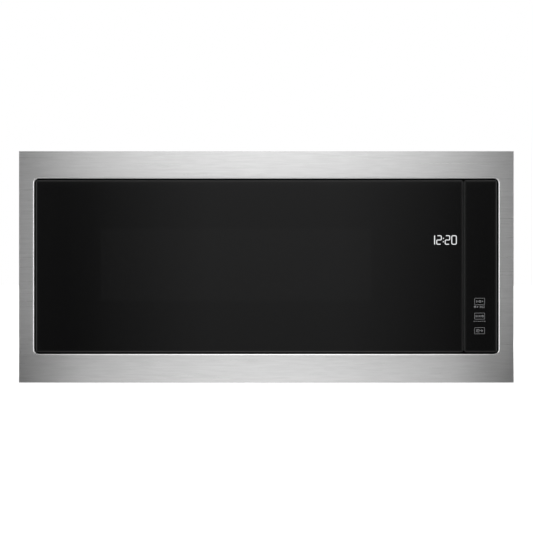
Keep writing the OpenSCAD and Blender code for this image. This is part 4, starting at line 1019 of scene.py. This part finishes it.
class MICROWAVE_OT_latch(bpy.types.Operator):
    """Finishes the hinges, the latch, what releases it, and the turntable's nylon parts"""

    bl_idname = "microwave.latch"
    bl_label = "Hinges and latch"
    bl_options = {"REGISTER", "UNDO"}

    def execute(self, context):
        wear(bright("bright plated steel", (0.70, 0.70, 0.69)), "hinge_leaf_upper",
             "hinge_leaf_lower", "hinge_pin_upper", "hinge_pin_lower", "latch_spring",
             "solenoid_plunger")
        wear(moulded("pale nylon", (0.72, 0.70, 0.63), 0.4, 900.0, 0.00002), "latch_board",
             "latch_hooks", "release_lever", "drive_coupler", "roller_ring", "roller_a",
             "roller_b", "roller_c")
        wear(laminated("solenoid steel", (0.07, 0.07, 0.075)), "release_solenoid")
        return {"FINISHED"}


class MICROWAVE_OT_cavity(bpy.types.Operator):
    """Presses the glass tray and finishes the cavity"""

    bl_idname = "microwave.cavity"
    bl_label = "Cavity and tray"
    bl_options = {"REGISTER", "UNDO"}

    def execute(self, context):
        wear(enamel("grey cavity enamel", palette("cavity"), 0.32, 0.5, (0.62, 0.63, 0.64)),
             "cavity_shell")
        wear(mica("pressed mica", (0.62, 0.54, 0.40)), "waveguide_cover")
        low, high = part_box("glass_tray")
        x, y, _ = middle_of("glass_tray")
        rise, floor, bead = high[2] - low[2], 0.0046, 0.0052
        profile = [(0.004, 0), (0.096, 0), (0.1, 0.0004), (0.104, 0), (0.1375, 0),
                   (0.1395, 0.0006), (0.1525, 0.0092), (0.1545, 0.0102), (0.1585, 0.0102),
                   (0.1597, 0.0112), (0.16, 0.0128), (0.1597, rise - 0.0008), (0.1585, rise),
                   (0.1555, rise), (0.1535, rise - 0.0006), (0.1380, 0.0058), (0.1355, 0.005),
                   (0.1335, floor)]
        for ring in (0.118, 0.096, 0.074, 0.052):
            profile += [(ring + 0.004, floor), (ring + 0.003, bead), (ring + 0.001, bead),
                        (ring, floor)]
        profile += [(0.030, floor), (0.028, 0.0050), (0.004, 0.0050)]
        mount(turned("pressed_tray", (x, y, low[2]), profile, 128), "turntable", "tray_glass",
              clear_glass("clear tray glass", (0.975, 0.99, 0.985), 0.01, 0.04), "glass_tray")
        return {"FINISHED"}


def cross_recess_screw(profile, top):
    """One upright screw at the origin, with a cross recess in its head."""
    screw = turned("screw", (0, 0, 0), profile, 24, 40)
    reach, half = 0.0019, 0.00038
    for x, y in ((reach, half), (half, reach)):
        cut_with(screw, add_block("recess", -x, x, -y, y, top - 0.0011, top + 0.001))
    return clean(screw, 40)


class MICROWAVE_OT_fasteners(bpy.types.Operator):
    """Makes the screws with their cross recesses"""

    bl_idname = "microwave.fasteners"
    bl_label = "Screws"
    bl_options = {"REGISTER", "UNDO"}

    def execute(self, context):
        steel = bright("zinc-plated screws", (0.66, 0.66, 0.65), 0.28)
        side_x, rear_y, z0, z1, side_z = 0.358, 0.476, 0.0255, 0.2995, 0.1615
        edge, corner, below_top = 0.008, 0.014, 0.007
        places = [at(side * (side_x - edge), rear_y, z, TO_REAR)
                  for side in (-1, 1) for z in (z0 + corner, z1 - corner)]
        places += [at(x, rear_y, z1 - below_top, TO_REAR) for x in (-0.2, 0, 0.2)]
        for side in (-1, 1):
            turn = Matrix.Rotation(side * pi / 2, 4, "Y")
            places += [at(side * (side_x + 0.0015), 0.02, side_z + z, turn)
                       for z in (-0.06, 0.06)]
        screw = cross_recess_screw([(0.0019, -0.009), (0.0019, 0), (0.0036, 0), (0.0036, 0.0007),
                                    (0.0033, 0.0014), (0.0024, 0.0018), (0.001, 0.002)], 0.002)
        mount(repeat("cross_recess_screws", screw, places), "chassis", "bright_steel", steel,
              "case_screws")
        low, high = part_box("hinge_screws")
        radius = 0.0033
        places = [at(x, low[1], z, TO_FRONT)
                  for x in (low[0] + radius, high[0] - radius)
                  for z in (low[2] + radius, high[2] - radius)]
        screw = cross_recess_screw([(0.0019, -0.0115), (0.0019, -0.0014), (radius, -0.0001),
                                    (radius, 0), (0.001, 0.0)], 0.0)
        mount(repeat("hinge_fixing_screws", screw, places), "chassis", "bright_steel", steel,
              "hinge_screws")
        return {"FINISHED"}


def pressed_bead(length):
    """One pressed bead along X, lying on the plane through the origin."""
    width, rise, sink = 0.014, 0.0013, 0.0003
    edit(add_block("bead", -length / 2, length / 2, -width / 2, width / 2, -sink, rise))
    pick(lambda place, way: abs(way.z) > 0.9 * way.length, "EDGE")
    bevel(width * 0.49, 7)
    bevel_rim(lambda place, way: way.z > 0.9, rise, 4)
    return close_edit(50)


def pressed_beads():
    """The beads that stiffen the top and the two sides."""
    low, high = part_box("outer_case")
    places = [(0.56, at(0, y, high[2])) for y in (0.075, 0.165, 0.255, 0.345)]
    for side, turn, lengths in ((low[0], TO_REAR, (0.185, 0.185, 0.38)),
                                (high[0], TO_FRONT, (0.27, 0.27, 0.38))):
        turn = Matrix.Rotation(pi / 2, 4, "Z") @ turn
        places += [(length, at(side, 0.062 + length / 2, height, turn))
                   for length, height in zip(lengths, (0.150, 0.235, 0.075))]
    beads = []
    for length, place in places:
        beads.append(pressed_bead(length))
        beads[-1].data.transform(place)
    mount(join("pressed_beads", beads), "chassis", "zinc_sheet", worn_by("outer_case"))


def intake_ring():
    """The ring pressed round the fan's intake slots."""
    x, _, z = middle_of("fan_impeller")
    ring = turned("intake_ring", (0, 0, 0), [
        (0.0555, -0.0003), (0.0625, -0.0003), (0.0622, 0.0003), (0.0608, 0.0011),
        (0.059, 0.0014), (0.0572, 0.0011), (0.0558, 0.0003), (0.0555, -0.0003)], 96, 50)
    edit(ring)
    pick(lambda place, way: abs(way.z) > 0.99 and place.xy.length < 0.04)
    bpy.ops.mesh.delete(type="FACE")
    close_edit(50)
    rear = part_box("rear_panel")[1][1]
    ring.data.transform(at(x, rear, z, TO_REAR))
    mount(ring, "chassis", "zinc_sheet", worn_by("rear_panel"))


def blank_plate():
    """A bare aluminium plate and the rivets that hold it to the rear panel."""
    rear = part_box("rear_panel")[1][1]
    x0, x1, z0, z1, inset = -0.052, 0.048, 0.186, 0.246, 0.006
    plate = add_block("blank_plate", x0, x1, rear - 0.0002, rear + 0.0006, z0, z1)
    edit(plate)
    pick(lambda place, way: abs(way.y) > 0.9 * way.length, "EDGE")
    bevel(0.004, 6)
    bevel_rim(lambda place, way: way.y > 0.9, 0.0002, 2)
    close_edit(35)
    rivet = turned("rivet", (0, 0, 0), [
        (0.0006, 0), (0.0026, 0), (0.0025, 0.0004), (0.002, 0.0009), (0.0012, 0.0012),
        (0.0007, 0.00125), (0.0006, 0.0008)], 20, 40)
    places = [at(x, rear + 0.0005, z, TO_REAR)
              for x in (x0 + inset, x1 - inset) for z in (z0 + inset, z1 - inset)]
    rivets = repeat("plate_rivets", rivet, places)
    aluminium = bright("satin aluminium", (0.74, 0.74, 0.75), 0.36)
    for piece in (plate, rivets):
        mount(piece, "chassis", "plain_aluminium", aluminium)


class MICROWAVE_OT_case(bpy.types.Operator):
    """Presses stiffening beads into the case and rivets the blank plate to its rear"""

    bl_idname = "microwave.case"
    bl_label = "Case details"
    bl_options = {"REGISTER", "UNDO"}

    def execute(self, context):
        wear(moulded("black rubber", (0.02, 0.02, 0.02), 0.68, 700.0), "cord_bushing")
        pressed_beads()
        intake_ring()
        blank_plate()
        return {"FINISHED"}


def coil_layer(x, y, wide, deep, start, width):
    """One layer: a single wire that climbs its own width on each turn."""
    loop = rounded_path([(-wide, -deep), (wide, -deep), (wide, deep), (-wide, deep)],
                        0.007, True)
    path = []
    for i in range(len(loop) * (sizes().turns - 1) + 1):
        dx, dy = loop[i % len(loop)]
        path.append((x + dx, y + dy, start + width * i / len(loop)))
    return clean(wire("coil_layer", [(path, False)], width * 0.48), 60)


def windings():
    """Two wound coils on the transformer's middle leg: layers of wire round a bobbin."""
    low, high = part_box("transformer_windings")
    core_low, core_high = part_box("transformer_core")
    x, y, middle = middle_of("transformer_windings")
    wide, deep = (high[0] - low[0]) / 2, (high[1] - low[1]) / 2
    build_up, loose, gap, layers = 0.022, 0.0002, 0.002, 4
    leg = wide - build_up
    wire_width = (high[2] - low[2] - gap) / 2 / (sizes().turns + 0.3)
    wall = 0.0095 - wire_width * 0.5
    coils = []
    for start in (low[2], middle + gap / 2):
        for layer in range(layers):
            reach = wire_width * (0.55 + 0.95 * layer)
            coils.append(coil_layer(x, y, wide - reach, deep - reach,
                                    start + wire_width * 0.65, wire_width))
        bobbin = add_block("bobbin", x - leg - wall, x + leg + wall,
                           core_low[1] - wall, core_high[1] + wall,
                           start + 0.0004, start + wire_width * (sizes().turns + 0.2))
        cut_with(bobbin, add_block("leg", x - leg - loose, x + leg + loose,
                                   core_low[1] - loose, core_high[1] + loose,
                                   start - 0.01, start + 0.05))
        coils.append(bobbin)
    mount(join("wound_coils", coils), "chassis", "copper_wire",
          wound("copper windings", palette("copper")), "transformer_windings")


def boards():
    """Each board's solder mask, with its components in their own colours."""
    mask = palette("board")
    blue, black, cream = (0.02, 0.05, 0.16), (0.012, 0.012, 0.012), (0.62, 0.58, 0.46)
    yellow, white, brown = (0.62, 0.42, 0.05), (0.66, 0.66, 0.64), (0.35, 0.16, 0.06)
    (x0, y0, z0), (x1, y1, z1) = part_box("control_board")
    face = x1 - 0.0172
    parts = [((x0 - MM, face, *span), paint) for span, paint in (
        ((y0, y0 + 0.066, z1 - 0.057, z1 - 0.027), blue),
        ((y0 + 0.007, y0 + 0.045, z0 + 0.013, z0 + 0.045), yellow),
        ((y0 + 0.049, y0 + 0.067, z0 + 0.021, z0 + 0.039), black),
        ((y1 - 0.073, y1 - 0.011, z0 + 0.003, z0 + 0.015), white),
        ((y0 + 0.049, y0 + 0.071, z0 + 0.051, z0 + 0.073), black))]
    parts.append(((face + 0.0019, x1 + MM, y0, y1, z0, z1), cream))
    wear(circuit("control board", mask, parts), "control_board")
    (x0, y0, z0), (x1, y1, z1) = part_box("noise_filter_board")
    face = z0 + 0.0177
    parts = [((x0, x0 + 0.042, y0, y1, face, z1 + MM), brown),
             ((x0 + 0.046, x1, y0 + 0.008, y0 + 0.026, face, z1 + MM), yellow),
             ((x0 + 0.046, x1, y0 + 0.034, y0 + 0.054, face, z1 + MM), blue),
             ((x0, x1, y0, y1, z0 - MM, z0 + 0.0158), cream)]
    wear(circuit("noise filter board", mask, parts), "noise_filter_board")
    (x0, y0, z0), (x1, y1, z1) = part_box("touch_board")
    parts = [((x0, x1, y0 + 0.0018, y1 + MM, z0, z0 + 0.013), white),
             ((x0, x1, y0 + 0.0018, y1 + MM, z0 + 0.013, z1), black)]
    wear(circuit("touch board", mask, parts), "touch_board")


class MICROWAVE_OT_bay(bpy.types.Operator):
    """Finishes the parts in the component bay"""

    bl_idname = "microwave.bay"
    bl_label = "Component bay"
    bl_options = {"REGISTER", "UNDO"}

    def execute(self, context):
        wear(laminated("transformer laminations", (0.06, 0.06, 0.065)), "transformer_core")
        wear(laminated("motor laminations", (0.09, 0.09, 0.09)), "fan_motor")
        windings()
        wear(bright("plain aluminium", (0.78, 0.78, 0.79), 0.34), "capacitor",
             "magnetron_tube")
        wear(clear_glass("lamp glass", (0.96, 0.95, 0.92), 0.12), "cavity_lamp")
        wear(moulded("grey nylon", (0.24, 0.25, 0.26), 0.42), "fan_impeller")
        boards()
        return {"FINISHED"}


def white_world():
    """White to see, and dimmer as a light."""
    f = Finish("studio", bpy.data.worlds.new("studio"))
    sky = f.node("ShaderNodeBackground", {"Color": WHITE, "Strength": f.seen(0.45)})
    f.node("ShaderNodeOutputWorld", {"Surface": sky})
    bpy.context.scene.world = f.owner


def stage_floor():
    """A pale floor that brightens far off, and the shelf that the oven stands on."""
    ground = CAD_BOX[0][2] - 0.0003
    deselect()
    bpy.ops.mesh.primitive_plane_add(size=60, location=(0, 0, ground))
    floor = settle(named("stage_floor"))
    shelf = add_block("stage_shelf", -0.37, 0.37, 0.002, 0.50, ground, -0.0002, 0.001)
    f = Finish("pale floor")
    x, y, _ = f.axes()
    far = (x * x + y * y).spread(1.0, 9.0, 0.42, 1.0)
    paint = f.node("ShaderNodeBsdfDiffuse", {"Color": (0.9, 0.9, 0.9, 1)})
    both = f.node("ShaderNodeAddShader", {0: paint, 1: f.glow(f.seen() * far)})
    wear(f.output(both), floor, shelf)


def reflector_cards():
    """Cards that only reflections see: they give the steel and the black glass their tone."""
    ground = CAD_BOX[0][2]
    unit = 0.6  # metres from the middle to the end of the tone curves
    f = Finish("reflector card")
    x, _, z = f.axes()
    side = x.size()
    steel = f.curve(side / unit, (0.0, 1.0), (0.14, 0.98), (0.223, 0.94), (0.308, 0.89),
                    (0.393, 0.83), (0.478, 0.74), (0.562, 0.66), (0.64, 0.50),
                    (0.695, 0.14), (0.75, 0.04), (1.0, 0.02))
    steel = steel * z.spread(0.75, 1.4, 1.95, 1.2) + side.spread(0.64, 1.0, 0.0, 1.25)
    glass = f.curve((x - 0.015).size() / unit, (0.0, 0.34), (0.2, 0.335), (0.267, 0.30),
                    (0.35, 0.25), (0.417, 0.205), (0.483, 0.165), (0.558, 0.11),
                    (0.633, 0.082), (0.7, 0.09))
    glass = glass * (0.84 + z)
    band = z.within(-0.1, 0.3205) * (side < 0.4168)
    upright = f.output(f.glow(steel * (1 - band) + glass * band))
    f = Finish("floor card")
    tone = f.curve(f.axes()[0].size() / unit, (0.0, 1.0), (0.14, 0.97), (0.223, 0.90),
                   (0.333, 0.80), (0.393, 0.745), (0.478, 0.63), (0.548, 0.40),
                   (0.62, 0.2), (0.7, 0.02), (0.75, 0.05), (0.85, 0.9), (1.0, 1.0))
    flat = f.output(f.glow(tone * 1.45))
    front = add_sheet("stage_reflector", -1.3, 1.3, -1.25, 1.7, -1.1)
    low = add_block("stage_floor_card", -1.3, 1.3, -0.5, -0.021,
                    ground - 0.0002, ground - 0.0001)
    for card, material in ((front, upright), (low, flat)):
        card.visible_camera = False
        card.visible_diffuse = False
        card.visible_shadow = False
        card.visible_transmission = False
        wear(material, card)


def add_lamp(name, place, size, power):
    """A soft lamp that points at the oven and shows in no reflection."""
    deselect()
    aim = Vector((0, 0.2, 0.15)) - Vector(place)
    bpy.ops.object.light_add(type="AREA", location=place,
                             rotation=aim.to_track_quat("-Z", "Y").to_euler())
    lamp = named(name)
    lamp.data.size = size
    lamp.data.energy = power
    lamp.visible_glossy = False


class MICROWAVE_OT_stage(bpy.types.Operator):
    """Sets the floor, the shelf, the reflector, the lamps and the white world"""

    bl_idname = "microwave.stage"
    bl_label = "Stage"
    bl_options = {"REGISTER", "UNDO"}

    def execute(self, context):
        white_world()
        stage_floor()
        reflector_cards()
        add_lamp("key lamp", (-1.6, -2.2, 2.4), 1.6, 46)
        add_lamp("fill lamp", (2.2, -1.8, 1.5), 1.8, 26)
        add_lamp("rear lamp", (0.6, 2.6, 2.2), 1.8, 42)
        return {"FINISHED"}


class MICROWAVE_PT_panel(bpy.types.Panel):
    """Lists the steps that dress the oven"""

    bl_idname = "MICROWAVE_PT_panel"
    bl_label = "Microwave Oven"
    bl_space_type = "VIEW_3D"
    bl_region_type = "UI"
    bl_category = "Microwave"

    def draw(self, context):
        column = self.layout.column()
        for operator in OPERATORS:
            column.operator(operator.bl_idname)
        for settings in (context.scene.microwave_sizes, context.scene.microwave_colours):
            column.separator()
            for name in settings.bl_rna.properties.keys():
                if name not in ("rna_type", "name"):
                    column.prop(settings, name)


OPERATORS = (
    MICROWAVE_OT_camera, MICROWAVE_OT_trim, MICROWAVE_OT_glass, MICROWAVE_OT_clock,
    MICROWAVE_OT_keys, MICROWAVE_OT_door, MICROWAVE_OT_latch, MICROWAVE_OT_cavity,
    MICROWAVE_OT_fasteners, MICROWAVE_OT_case, MICROWAVE_OT_bay, MICROWAVE_OT_stage,
)
CLASSES = (MicrowaveSizes, MicrowaveColours, *OPERATORS, MICROWAVE_PT_panel)


def register():
    """Registers the classes and puts the settings on the scene."""
    for each in CLASSES:
        bpy.utils.register_class(each)
    bpy.types.Scene.microwave_sizes = PointerProperty(type=MicrowaveSizes)
    bpy.types.Scene.microwave_colours = PointerProperty(type=MicrowaveColours)


def unregister():
    """Takes the settings and the classes away again."""
    del bpy.types.Scene.microwave_colours
    del bpy.types.Scene.microwave_sizes
    for each in reversed(CLASSES):
        bpy.utils.unregister_class(each)


def main():
    """Builds the oven step by step."""
    register()
    bpy.context.scene.view_settings.view_transform = "Standard"
    for operator in OPERATORS:
        name = operator.bl_idname.split(".")[1]
        getattr(bpy.ops.microwave, name)()
        deselect()


if __name__ == "__main__":
    main()
